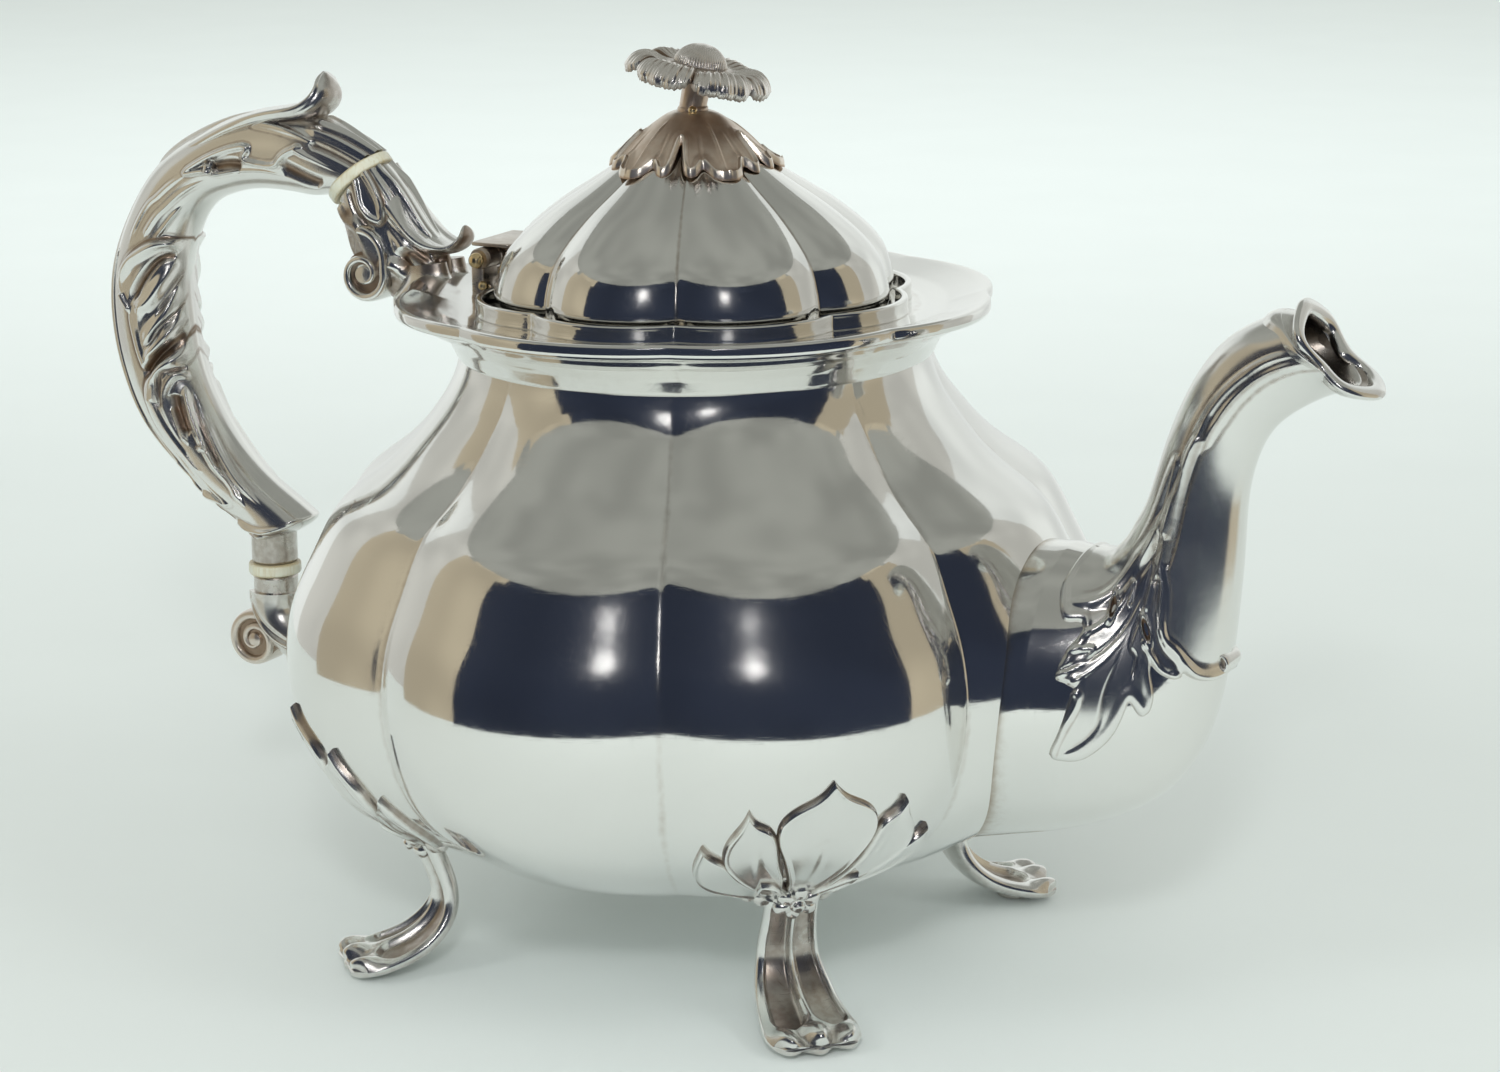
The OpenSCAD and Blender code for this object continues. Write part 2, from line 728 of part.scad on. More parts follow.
body_shell();
rim_flange();
collar_ring();
strainer();
spout_base();
spout_neck();
spout_lip();
spout_scroll();
spout_leaf();  // spout_leaf_left
mirror([0, 1, 0]) spout_leaf();  // spout_leaf_right
rotate(45) leg();  // leg_spout_left
rotate(-45) leg();  // leg_spout_right
rotate(135) leg();  // leg_handle_left
rotate(-135) leg();  // leg_handle_right
rotate(45) leg_leaf();  // leaf_spout_left
rotate(-45) leg_leaf();  // leaf_spout_right
rotate(135) leg_leaf();  // leaf_handle_left
rotate(-135) leg_leaf();  // leaf_handle_right
leg_bosses();
upper_socket();
upper_scroll();
lower_socket();
lower_scroll();
handle_scroll();
thumb_leaf();
upper_insulator();
lower_insulator();
handle_pins();
hinge_plate();
hinge_pin();
lid_dome();
lid_bezel();
hinge_leaf();
calyx();
finial_stem();
finial_flower();
finial_boss();
finial_bead();
finial_stud();
finial_washer();
finial_nut();
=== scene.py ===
import math

import bmesh
import bpy
import numpy as np
from mathutils import Matrix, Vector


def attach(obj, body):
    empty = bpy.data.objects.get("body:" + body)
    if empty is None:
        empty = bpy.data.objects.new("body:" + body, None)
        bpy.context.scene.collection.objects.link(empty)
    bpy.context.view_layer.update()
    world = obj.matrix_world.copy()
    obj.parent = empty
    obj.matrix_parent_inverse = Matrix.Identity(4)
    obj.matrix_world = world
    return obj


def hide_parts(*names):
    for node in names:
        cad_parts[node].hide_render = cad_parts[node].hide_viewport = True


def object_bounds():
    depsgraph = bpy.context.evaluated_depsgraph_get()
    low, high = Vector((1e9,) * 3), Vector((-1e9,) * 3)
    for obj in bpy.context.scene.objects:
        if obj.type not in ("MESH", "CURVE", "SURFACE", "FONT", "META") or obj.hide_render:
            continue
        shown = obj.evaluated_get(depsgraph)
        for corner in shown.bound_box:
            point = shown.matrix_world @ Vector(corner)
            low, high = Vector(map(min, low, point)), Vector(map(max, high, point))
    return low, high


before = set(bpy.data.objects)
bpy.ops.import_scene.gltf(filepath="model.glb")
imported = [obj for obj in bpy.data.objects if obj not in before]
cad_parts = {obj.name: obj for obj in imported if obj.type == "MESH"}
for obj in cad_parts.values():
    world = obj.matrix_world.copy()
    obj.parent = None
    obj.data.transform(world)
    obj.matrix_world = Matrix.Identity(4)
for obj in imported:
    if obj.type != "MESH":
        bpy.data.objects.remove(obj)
cad_box = [list(corner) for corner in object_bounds()]

# Eight-lobed silver teapot. Lengths are in millimetres until a mesh is made, in the frame's
# axes: +X to the spout, -X to the handle, +Z up.
MM = 0.001
LOBES = 8
LOBE_HALF = 180 / LOBES


# ---------------------------------------------------------------- numbers and curves

def spline(points, count):
    """Natural cubic spline through rows of numbers, sampled evenly along its chords."""
    pts = np.array(points, float)
    knots = np.concatenate([[0], np.cumsum(np.linalg.norm(np.diff(pts, axis=0), axis=1))])
    gap = np.diff(knots)
    size = len(pts)
    left = np.eye(size)
    right = np.zeros_like(pts)
    for i in range(1, size - 1):
        left[i, i - 1:i + 2] = gap[i - 1], 2 * (gap[i - 1] + gap[i]), gap[i]
        right[i] = 6 * ((pts[i + 1] - pts[i]) / gap[i] - (pts[i] - pts[i - 1]) / gap[i - 1])
    bend = np.linalg.solve(left, right)
    at = np.linspace(0, knots[-1], count)
    k = np.clip(np.searchsorted(knots, at, side="right") - 1, 0, size - 2)
    h = gap[k][:, None]
    a = (knots[k + 1][:, None] - at[:, None]) / h
    b = 1 - a
    return (a * pts[k] + b * pts[k + 1]
            + ((a ** 3 - a) * bend[k] + (b ** 3 - b) * bend[k + 1]) * h ** 2 / 6)


def smoothstep(low, high, x):
    t = np.clip((x - low) / (high - low), 0, 1)
    return t * t * (3 - 2 * t)


def bump(x, width):
    """Rounded ridge section: 1 in the middle, 0 from width outwards."""
    return np.square(np.cos(np.clip(np.abs(x) / width, 0, 1) * math.pi / 2))


def polar(angle, radius):
    a = np.radians(angle)
    return np.stack([radius * np.cos(a), radius * np.sin(a)], axis=-1)


def around(count):
    """Evenly spaced angles of one full turn."""
    return np.arange(count) * 360 / count


def fold(angle, half):
    """Angle from the nearest multiple of twice half, so from -half to half."""
    return (angle + half) % (2 * half) - half


def squared(wave, power):
    """Sine or cosine whose curve is drawn out towards a square one."""
    return np.sign(wave) * np.abs(wave) ** power


def unit(vectors):
    """Vectors of length 1 in the same directions, along the last axis."""
    return vectors / np.maximum(np.linalg.norm(vectors, axis=-1, keepdims=True), 1e-9)


def there_and_back(profile):
    """A turned profile whose second half mirrors the first across height 0."""
    return profile + [(radius, -height) for radius, height in profile[::-1]]


# ---------------------------------------------------------------- lobed outline

def lobe_radius(angle, radius, groove, soft=0.5):
    """Radius of an outline of lobes: each is an arc, and they meet in softened grooves."""
    half = math.radians(LOBE_HALF)
    turn = np.radians(fold(angle, LOBE_HALF))
    away = half - np.abs(turn)
    turn = half - np.sqrt(away ** 2 + math.radians(soft) ** 2)
    rise = 1 - groove * math.cos(half)
    arc = ((groove * math.sin(half)) ** 2 + rise ** 2) / (2 * rise)
    middle = 1 - arc
    return radius * (middle * np.cos(turn) + np.sqrt(arc ** 2 - (middle * np.sin(turn)) ** 2))


BELLY_R, BELLY_H = 83.4, 64.0
NECK_R, NECK_H = 47.3, 120.0
BASE_H = 21.0
WALL = 1.2
POLE_R = 0.4                       # of the innermost ring, which a fan of triangles fills
FLANGE_R, FLANGE_H, FLANGE_RISE = 59.7, 130.4, 2.8
COLLAR_R, COLLAR_RISE = 43.9, 3.2
MOUTH_R = 36.3
LID_R, LID_GROOVE = 40.2, 0.915

BODY_OUTLINE = [
    (30, BASE_H), (43, BASE_H + 1.2), (53, BASE_H + 4.4), (62, BASE_H + 9.2),
    (0.845 * BELLY_R, BASE_H + 14.6), (0.915 * BELLY_R, BASE_H + 20.4),
    (0.972 * BELLY_R, BELLY_H - 13.4), (BELLY_R, BELLY_H), (0.978 * BELLY_R, BELLY_H + 11.5),
    (0.93 * BELLY_R, BELLY_H + 20), (0.858 * BELLY_R, NECK_H - 26), (63.8, NECK_H - 20),
    (58, NECK_H - 15), (53.6, NECK_H - 10), (50.2, NECK_H - 5.6), (NECK_R + 0.9, NECK_H - 2.2),
    (NECK_R, NECK_H), (NECK_R + 0.1, FLANGE_H - 1.4)]
BODY_CURVE = spline(BODY_OUTLINE, 400)


def groove_at(z):
    """Depth of the belly's grooves: they fade out up the neck and under the belly."""
    return np.interp(z, [BASE_H, BASE_H + 14, NECK_H - 22, NECK_H - 6, NECK_H],
                     [0.955, 0.932, 0.932, 0.965, 0.985])


def body_radius(z):
    """Radius of the body's outline on a lobe's middle, at each height."""
    return np.interp(z, BODY_CURVE[:, 1], BODY_CURVE[:, 0])


def on_body(y, z, first, passes):
    """Points on the body's lobes, from their sideways place, their height and a first radius."""
    radius, deep, r = body_radius(z), groove_at(z), first
    for _ in range(passes):
        r = lobe_radius(np.degrees(np.arcsin(y / r)), radius, deep)
    return np.stack([np.sqrt(r * r - y * y), y, z], axis=-1)


# ---------------------------------------------------------------- tube surfaces
# A section is two opposite points (x, z) and a half width across the pot. Angle 0 is at the
# first point, 180 at the second, and -90 faces the side that the camera sees.

SPOUT_SECTIONS = [
    (79, 33.6, 80.5, 90.2, 23.4), (91, 37.8, 86, 89.6, 20.5), (101.5, 45, 89.5, 90.2, 17),
    (108, 55.5, 91.4, 91.8, 13.8), (111.3, 68, 93, 94, 11.6), (113, 81, 94.6, 97, 10.1),
    (113.9, 92, 96.4, 100.6, 9), (114.4, 101, 98.2, 106.3, 8.3), (116, 109, 100.6, 114, 7.8),
    (119.7, 116.2, 104.4, 122.8, 7.6), (126.6, 121.6, 110, 130.8, 7.7),
    (133.2, 124.4, 116.4, 135.4, 8.2), (136.8, 124.2, 121.6, 138, 8.8)]

HANDLE_SECTIONS = [
    (-72.9, 156.4, -83.4, 147.2, 6.4), (-80.5, 160.8, -87.6, 146.6, 7),
    (-92, 164.4, -93, 147, 7.2), (-104.8, 163, -101.6, 147.2, 7.2),
    (-116.4, 158.4, -108, 146, 7.5), (-126.8, 151.6, -113.6, 143.6, 7.5),
    (-134.8, 140.8, -118.2, 138, 7.5), (-139.6, 129, -120.8, 129, 7.5),
    (-140.4, 117, -120.6, 119.4, 7.5), (-138.2, 105.6, -118.8, 108.8, 7.4),
    (-133.8, 95.8, -115, 100, 7.1), (-126.6, 87.8, -109.4, 91.8, 6.6),
    (-118, 81, -103, 85.6, 6.3), (-109.6, 75.8, -96.4, 81.2, 6.2),
    (-105.6, 70.4, -90.2, 77.2, 6.6)]

UPPER_SOCKET_SECTIONS = [
    (-71.2, 154.4, -81.7, 145.4, 6.4), (-66.4, 149.4, -80.2, 138.8, 6.6),
    (-62.2, 143.6, -78.2, 133.2, 5.9), (-58.6, 139.4, -73.0, 128.6, 5.2),
    (-55.6, 135.6, -68.6, 125.6, 4.6), (-55.4, 133, -66.4, 124.4, 4.0)]


def folded_angles(count):
    """Angles round a tube, from -180 to 180, so that their size tells the side's place."""
    return np.linspace(-180, 180, count, endpoint=False)


def tube(sections, rows, angles):
    """Points and outward normals of a tube surface: rows along it, angles round it."""
    s = spline(sections, rows)
    first = np.stack([s[:, 0], np.zeros(rows), s[:, 1]], axis=1)
    second = np.stack([s[:, 2], np.zeros(rows), s[:, 3]], axis=1)
    middle, half = (first + second) / 2, (first - second) / 2
    a = np.radians(angles)
    points = middle[:, None] + half[:, None] * np.cos(a)[None, :, None]
    points[..., 1] += s[:, 4][:, None] * np.sin(a)[None]
    round_it = np.roll(points, -1, axis=1) - np.roll(points, 1, axis=1)
    normal = unit(np.cross(np.gradient(points, axis=0), round_it))
    outward = np.sign(np.sum(normal * (points - middle[:, None]), axis=-1).mean())
    return points, normal * outward


def pushed(points, normal, height):
    """Points moved along their normals; a negative height moves them in."""
    return points + normal * np.asarray(height)[..., None]


def closing(rows, length, most):
    """Goes from 0 to most over the last part of the rows, for drawing a tube's end in."""
    return np.clip((rows - (1 - length)) / length, 0, most).reshape(-1, 1, 1)


def rounded_end(points, rows, length, most=0.97):
    """The tube with its last part drawn in to a rounded end."""
    middle = points.mean(axis=1, keepdims=True)
    return middle + (points - middle) * np.sqrt(1 - closing(rows, length, most) ** 2)


# ---------------------------------------------------------------- relief on a surface
# Ornament is drawn on a tube in (u, angle): u runs 0 to 1 along it, and the angle is folded
# to 0 to 180 so that both sides match. A Relief holds the height and the tarnish so far.

CAMERA_SIDE = -90                  # angle on a tube that faces the camera's side
MIDDLE_ANGLE = 100                 # folded angle from which distances across are counted
PATH_STEPS = 36
FAR = 1e9                          # millimetres, more than any distance on the pot


class Relief:
    def __init__(self, points, angles):
        """points is the tube's grid, and angles its columns, in degrees from -180 to 180."""
        rows = len(points)
        side = points[:, np.argmin(np.abs(angles - CAMERA_SIDE))]
        step = np.linalg.norm(np.roll(points, -1, axis=1) - points, axis=2)
        self.rows = np.linspace(0, 1, rows)
        self.girth = np.sum(step, axis=1) / 360
        self.length = np.sum(np.linalg.norm(np.diff(side, axis=0), axis=1))
        self.u = self.rows[:, None] * np.ones(len(angles))
        self.angle = np.abs(angles)[None] * np.ones((rows, 1))
        self.x, self.y = self.flat(self.u, self.angle)
        self.height = np.zeros_like(self.x)
        self.stain = np.zeros_like(self.x)

    def flat(self, u, angle):
        """Millimetres along and across the surface."""
        return u * self.length, (angle - MIDDLE_ANGLE) * np.interp(u, self.rows, self.girth)

    def distance(self, path):
        """Distance to a line, and how far along the line the nearest point is, 0 to 1."""
        if len(path) > 2:
            line = spline(path, PATH_STEPS)
        else:
            line = np.linspace(path[0], path[1], PATH_STEPS)
        px, py = self.flat(line[:, 0], line[:, 1])
        best = np.full(self.x.shape, FAR)
        along = np.zeros_like(best)
        for i in range(PATH_STEPS - 1):
            dx, dy = px[i + 1] - px[i], py[i + 1] - py[i]
            run = dx * dx + dy * dy + 1e-12
            t = np.clip(((self.x - px[i]) * dx + (self.y - py[i]) * dy) / run, 0, 1)
            d = np.hypot(self.x - px[i] - t * dx, self.y - py[i] - t * dy)
            nearer = d < best
            best = np.where(nearer, d, best)
            along = np.where(nearer, (i + t) / (PATH_STEPS - 1), along)
        return best, along

    def darken(self, amount):
        """Adds tarnish wherever there is less of it."""
        self.stain = np.maximum(self.stain, amount)

    def ridge(self, path, width, height, ends, stain=0.0):
        """Raised strand, or a channel if height is negative, tapering at its ends."""
        d, t = self.distance(path)
        taper = 1.0
        if ends[0]:
            taper = taper * smoothstep(0, ends[0], t)
        if ends[1]:
            taper = taper * smoothstep(0, ends[1], 1 - t)
        shape = bump(d, width * (0.35 + 0.65 * taper)) * taper
        self.height += height * shape
        self.darken(stain * shape)
        if height > 0:
            self.darken(0.45 * bump(d - width * 1.15, width * 0.5) * taper)

    def knob(self, u, angle, radius):
        """Round button, half a ball."""
        x, y = self.flat(u, angle)
        d = np.hypot(self.x - x, self.y - y) / radius
        self.height += radius * np.sqrt(np.clip(1 - d * d, 0, 1))
        self.darken(0.6 * bump(d - 1.25, 0.4))

    def eyelet(self, u, angle, long, wide, lean):
        """Small raised loop round a dark hollow."""
        x, y = self.flat(u, angle)
        c, s = math.cos(math.radians(lean)), math.sin(math.radians(lean))
        along = (self.x - x) * c + (self.y - y) * s
        across = (self.y - y) * c - (self.x - x) * s
        d = np.hypot(along / long, across / wide)
        self.height += 0.5 * bump(d - 1, 0.55) - 0.6 * smoothstep(0.85, 0.3, d)
        self.darken(smoothstep(0.95, 0.6, d))

    def plate(self, outline, height, edge, rim, dish):
        """Raised leaf with a firm edge; the outline's corners are eased."""
        px, py = eased(np.stack(self.flat(*np.array(outline, float).T), axis=1)).T
        inside = np.zeros(self.x.shape, bool)
        best = np.full(self.x.shape, FAR)
        for i in range(len(px)):
            x0, y0, x1, y1 = px[i - 1], py[i - 1], px[i], py[i]
            dx, dy = x1 - x0, y1 - y0
            run = dx * dx + dy * dy + 1e-12
            t = np.clip(((self.x - x0) * dx + (self.y - y0) * dy) / run, 0, 1)
            best = np.minimum(best, np.hypot(self.x - x0 - t * dx, self.y - y0 - t * dy))
            crosses = (y0 > self.y) != (y1 > self.y)
            inside ^= crosses & (self.x < (x1 - x0) * (self.y - y0) / (y1 - y0 + 1e-12) + x0)
        signed = np.where(inside, best, -best)
        self.height += height * smoothstep(-edge / 2, edge / 2, signed)
        self.height += rim * bump(signed - edge, edge * 1.2)
        self.height -= dish * smoothstep(edge, edge * 6, signed)
        self.darken(0.8 * bump(signed + 0.45 * edge, edge))


def eased(loop):
    """Closed outline with its corners cut twice, into curves."""
    for _ in range(2):
        ahead = np.roll(loop, -1, axis=0)
        loop = np.stack([0.8 * loop + 0.2 * ahead, 0.2 * loop + 0.8 * ahead], axis=1)
        loop = loop.reshape(-1, 2)
    return loop


# ---------------------------------------------------------------- making meshes

class Shape:
    """Collects grids of points, in millimetres, into one mesh."""

    def __init__(self):
        self.points, self.faces, self.stain, self.count = [], [], [], 0

    def grid(self, points, stain, loop=False):
        """Rows of points, each of them a ring. loop joins the last ring to the first;
        otherwise the first and the last are each filled with a fan of triangles."""
        rows, cols = points.shape[:2]
        i = np.arange(rows if loop else rows - 1)[:, None]
        j = np.arange(cols)[None]
        g, k = (i + 1) % rows, (j + 1) % cols
        quads = np.stack(np.broadcast_arrays(i * cols + j, g * cols + j, g * cols + k,
                                             i * cols + k), axis=-1).reshape(-1, 4)
        flat = points.reshape(-1, 3)
        stains = np.broadcast_to(stain, points.shape[:2]).reshape(-1)
        faces = [tuple(q) for q in quads.tolist()]
        for base in () if loop else (0, (rows - 1) * cols):
            flat = np.vstack([flat, flat[base:base + cols].mean(axis=0)])
            stains = np.append(stains, stains[base:base + cols].mean())
            tip = len(flat) - 1
            for a in range(cols):
                b = (a + 1) % cols
                faces.append((base + b, base + a, tip) if base else (base + a, base + b, tip))
        self.add([flat], faces, [stains])
        return self

    def add(self, points, faces, stains):
        """Takes in lists of points, of their faces and of their tarnish."""
        self.faces += [tuple(v + self.count for v in f) for f in faces]
        self.points += points
        self.stain += stains
        self.count += sum(len(p) for p in points)

    def turned(self, angle):
        """A copy turned about the pot's axis."""
        c, s = math.cos(math.radians(angle)), math.sin(math.radians(angle))
        turn = np.array([[c, -s, 0], [s, c, 0], [0, 0, 1]])
        other = Shape()
        other.points = [p @ turn.T for p in self.points]
        other.faces, other.stain, other.count = self.faces, self.stain, self.count
        return other

    def build(self, name, body, slot, *nodes, sharp=40, finish=None):
        """Makes the piece: it rides on the body, takes the slot's finish unless another one is
        named, and stands for the CAD nodes. Edges sharper than sharp degrees stay sharp."""
        mesh = bpy.data.meshes.new(name)
        inside = np.clip(np.vstack(self.points) * MM, *np.array(cad_box))
        mesh.from_pydata(inside.tolist(), [], self.faces)
        mesh.validate()
        stain = mesh.attributes.new("tarnish", "FLOAT", "POINT")
        stain.data.foreach_set("value", np.concatenate(self.stain).astype(np.float32))
        mesh.update()
        fix_normals(mesh)
        mesh.polygons.foreach_set("use_smooth", [True] * len(mesh.polygons))
        mesh.set_sharp_from_angle(angle=math.radians(sharp))
        piece = bpy.data.objects.new(name, mesh)
        bpy.context.scene.collection.objects.link(piece)
        mesh.materials.append(MATERIALS[finish or slot])
        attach(piece, body)
        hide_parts(*nodes)


def fix_normals(mesh):
    """Turns every closed part of the mesh right side out."""
    work = bmesh.new()
    work.from_mesh(mesh)
    bmesh.ops.recalc_face_normals(work, faces=work.faces)
    work.to_mesh(mesh)
    work.free()


# ---------------------------------------------------------------- materials

class Look:
    """A material, with short ways to make the shader nodes that all the finishes use."""

    def __init__(self, name):
        self.material = bpy.data.materials.new(name)
        self.material.use_nodes = True
        self.nodes = self.material.node_tree.nodes
        self.links = self.material.node_tree.links
        self.shader = next(n for n in self.nodes if n.type == "BSDF_PRINCIPLED")
        self.coords = self.nodes.new("ShaderNodeTexCoord").outputs["Object"]

    def feed(self, node, inputs):
        """Fills a node's inputs with numbers, colours, or the sockets that drive them."""
        for key, value in inputs.items():
            if isinstance(value, bpy.types.NodeSocket):
                self.links.new(value, node.inputs[key])
            else:
                node.inputs[key].default_value = value

    def node(self, kind, inputs, output, **settings):
        """A new node's output."""
        made = self.nodes.new("ShaderNode" + kind)
        for key, value in settings.items():
            setattr(made, key, value)
        self.feed(made, inputs)
        return made.outputs[output]

    def mix(self, factor, low, high):
        """Mixes two numbers."""
        return self.node("Mix", {0: factor, 2: low, 3: high}, 0, data_type="FLOAT")

    def blend(self, factor, low, high):
        """Mixes two colours."""
        low, high = ((*c, 1) if isinstance(c, tuple) else c for c in (low, high))
        return self.node("Mix", {0: factor, 6: low, 7: high}, 2, data_type="RGBA")

    def ramp(self, value, low, high):
        """Stretches a number so that low becomes 0 and high becomes 1."""
        return self.node("MapRange", {"Value": value, "From Min": low, "From Max": high},
                         "Result", interpolation_type="SMOOTHSTEP")

    def noise(self, size, detail, stretch=(1, 1, 1), turn=(0, 0, 0)):
        """Noise whose features are about that many millimetres across."""
        place = self.node("Mapping", {"Vector": self.coords,
                                      "Scale": [1 / (size * MM * s) for s in stretch],
                                      "Rotation": [math.radians(t) for t in turn]}, "Vector")
        return self.node("TexNoise", {"Vector": place, "Scale": 1.0, "Detail": detail}, "Fac")

    def sum_of(self, value, share, rest):
        """value * share + rest"""
        return self.node("Math", {0: value, 1: share, 2: rest}, 0, operation="MULTIPLY_ADD")

    def bumps(self, height, strength, distance, **below):
        return self.node("Bump", {"Height": height, "Strength": strength,
                                  "Distance": distance * MM, **below}, "Normal")

    def tarnish(self):
        """The stain that each mesh carries in its points."""
        return self.node("Attribute", {}, "Fac", attribute_name="tarnish")


SCRATCH_MM = 0.08
# Three sets of hairline scratches: each one's turn in degrees, and its stretch.
HAIRLINES = [((0, 0, 20), (60, 1, 60)), ((35, 15, -40), (1, 50, 50)),
             ((-30, 60, 70), (50, 50, 1))]


def metal(name, clean, stained, roughness, base_stain=0.0, wave=0.02, cloud=0.25):
    """Polished metal with hairline scratches, soft cloudiness, and tarnish in its hollows."""
    look = Look(name)
    broad, fine = look.noise(size=14, detail=3), look.noise(size=1.6, detail=4)
    painted = look.sum_of(look.ramp(fine, 0.3, 0.7), 0.12, look.tarnish())
    patchy = look.sum_of(broad, 0.3, painted)
    stain = look.ramp(patchy, 0.28 - base_stain, 1.15 - base_stain)

    hair = None
    for turn, stretch in HAIRLINES:
        line = look.ramp(look.noise(SCRATCH_MM, 1, stretch, turn), 0.62, 0.8)
        if hair is None:
            hair = line
        else:
            hair = look.node("Math", {0: hair, 1: line}, 0, operation="MAXIMUM")
    smooth = look.mix(look.ramp(broad, 0.35, 0.75), roughness, roughness * (1 + cloud))
    dull = look.mix(stain, smooth, roughness + 0.2)
    dented = look.bumps(look.noise(size=9, detail=2), wave, 1.0)
    look.feed(look.shader, {
        "Metallic": 1.0,
        "Coat Weight": 0.5,
        "Coat Roughness": 0.24,
        "Base Color": look.blend(stain, clean, stained),
        "Roughness": look.mix(hair, dull, roughness + 0.09),
        "Normal": look.bumps(hair, 0.03, 0.05, Normal=dented)})
    return look.material


MILK, DEEP_MILK = (0.70, 0.72, 0.62), (0.66, 0.66, 0.54)
YELLOWED, EDGE_BROWN = (0.60, 0.57, 0.42), (0.42, 0.33, 0.16)


def ivory(name):
    """Creamy, slightly clouded material with fine grain and yellowed edges."""
    look = Look(name)
    grain = look.noise(size=0.5, detail=3, stretch=(1, 1, 8))
    cloud = look.ramp(look.noise(size=3.5, detail=2), 0.3, 0.7)
    milk = look.blend(cloud, MILK, DEEP_MILK)
    aged = look.blend(look.ramp(grain, 0.45, 0.75), milk, YELLOWED)
    look.feed(look.shader, {
        "Base Color": look.blend(look.tarnish(), aged, EDGE_BROWN),
        "Roughness": look.mix(grain, 0.22, 0.42),
        "Subsurface Weight": 0.2,
        "Subsurface Radius": (0.0016, 0.0012, 0.0008),
        "Normal": look.bumps(grain, 0.12, 0.1)})
    return look.material


SILVER = (0.84, 0.835, 0.81)
BROWN = (0.27, 0.195, 0.14)
MATERIALS = {
    "polished_silver": metal("polished silver", SILVER, (0.33, 0.25, 0.17), 0.055),
    "cast_silver": metal("cast silver", SILVER, BROWN, 0.17, wave=0.06),
    "tarnished_silver": metal("tarnished silver", (0.74, 0.67, 0.60), (0.33, 0.24, 0.17), 0.24,
                              base_stain=0.02, wave=0.08, cloud=0.4),
    "chased_silver": metal("chased silver", (0.84, 0.80, 0.76), BROWN, 0.2, base_stain=0.06,
                           wave=0.1, cloud=0.4),
    "warm_silver": metal("warm silver", (0.93, 0.85, 0.76), (0.62, 0.46, 0.34), 0.28,
                         wave=0.1, cloud=0.4),
    "ivory": ivory("old ivory"),
    "gilt": metal("worn gilt", (0.80, 0.62, 0.34), (0.30, 0.19, 0.08), 0.14),
}


def refinish(finish, *nodes):
    """Gives CAD nodes that stay as they are their material."""
    for node in nodes:
        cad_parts[node].data.materials.clear()
        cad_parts[node].data.materials.append(MATERIALS[finish])


# ---------------------------------------------------------------- pot and lid, sheet silver

SHEET_ANGLES = around(960)


def lobed_sheet(curve, groove, angles, soft=0.5):
    """Grid of a lobed surface: one row for each (radius, height) of the curve."""
    deep = np.broadcast_to(groove, (len(curve),))[:, None]
    r = lobe_radius(angles[None], curve[:, :1], deep, soft)
    flat = polar(np.broadcast_to(angles[None], r.shape), r)
    height = np.broadcast_to(curve[:, 1:2], r.shape)
    return np.dstack([flat, height])


def groove_stain(angles, width, strength):
    """Tarnish that gathers in the grooves between lobes."""
    return strength * bump(LOBE_HALF - np.abs(fold(angles, LOBE_HALF)), width)


def body_shell():
    outer = BODY_CURVE[np.linspace(0, len(BODY_CURVE) - 1, 240).astype(int)]
    inner = outer - [WALL, 0]
    inner = np.array([p for p in inner if p[1] > BASE_H + WALL])
    inner[0] = inner[0] * [1, 0] + [0, BASE_H + WALL]
    outline = np.vstack([[POLE_R, BASE_H], outer, inner[::-1], [POLE_R, BASE_H + WALL]])
    points = lobed_sheet(outline, groove_at(outline[:, 1]), SHEET_ANGLES)
    stain = groove_stain(SHEET_ANGLES, 1.2, 0.3)[None] * smoothstep(30, 60, outline[:, :1])
    Shape().grid(points, stain).build(
        "body_shell_sheet", "pot", "polished_silver", "body_shell")


# ---------------------------------------------------------------- outlines and turned parts

def rounded(points, radius, steps=4, closed=True):
    """Outline with each corner rounded by a short curve."""
    pts = np.array(points, float)
    made = []
    for i, here in enumerate(pts):
        if not closed and i in (0, len(pts) - 1):
            made.append(here)
            continue
        a, b = pts[i - 1] - here, pts[(i + 1) % len(pts)] - here
        a_len, b_len = np.linalg.norm(a), np.linalg.norm(b)
        start = here + a / a_len * min(radius, 0.45 * a_len)
        end = here + b / b_len * min(radius, 0.45 * b_len)
        for t in np.linspace(0, 1, steps + 1):
            made.append((1 - t) ** 2 * start + 2 * t * (1 - t) * here + t ** 2 * end)
    return np.array(made)


def rectangle(low_x, high_x, low_y, high_y):
    return [(low_x, low_y), (high_x, low_y), (high_x, high_y), (low_x, high_y)]


def turn_part(shape, profile, centre=(0, 0, 0), axis=(0, 0, 1), count=72, loop=False,
              stain=0.0, flute=None):
    """Turned solid: the profile's rows are (radius, height along the axis). loop joins its end
    to its start. flute changes the radii and heights, knowing the angles in radians."""
    w = unit(np.array(axis, float))
    side = np.array((1, 0, 0) if abs(w[0]) < 0.9 else (0, 1, 0), float)
    u = unit(side - np.dot(side, w) * w)
    v = np.cross(w, u)
    a = np.radians(around(count))
    r = np.array(profile)[:, :1] * np.ones(count)
    h = np.array(profile)[:, 1:2] * np.ones(count)
    if flute is not None:
        r, h = flute(r, h, a[None])
    points = (np.array(centre, float) + (r * np.cos(a))[..., None] * u
              + (r * np.sin(a))[..., None] * v + h[..., None] * w)
    return shape.grid(points, stain, loop)


def ball(shape, centre, radius, stain=0.0):
    """Small globe made of rings, from pole to pole."""
    t = np.linspace(0.02, math.pi - 0.02, 20)
    profile = np.stack([radius * np.sin(t), -radius * np.cos(t)], 1)
    turn_part(shape, profile, centre, count=40, stain=stain)


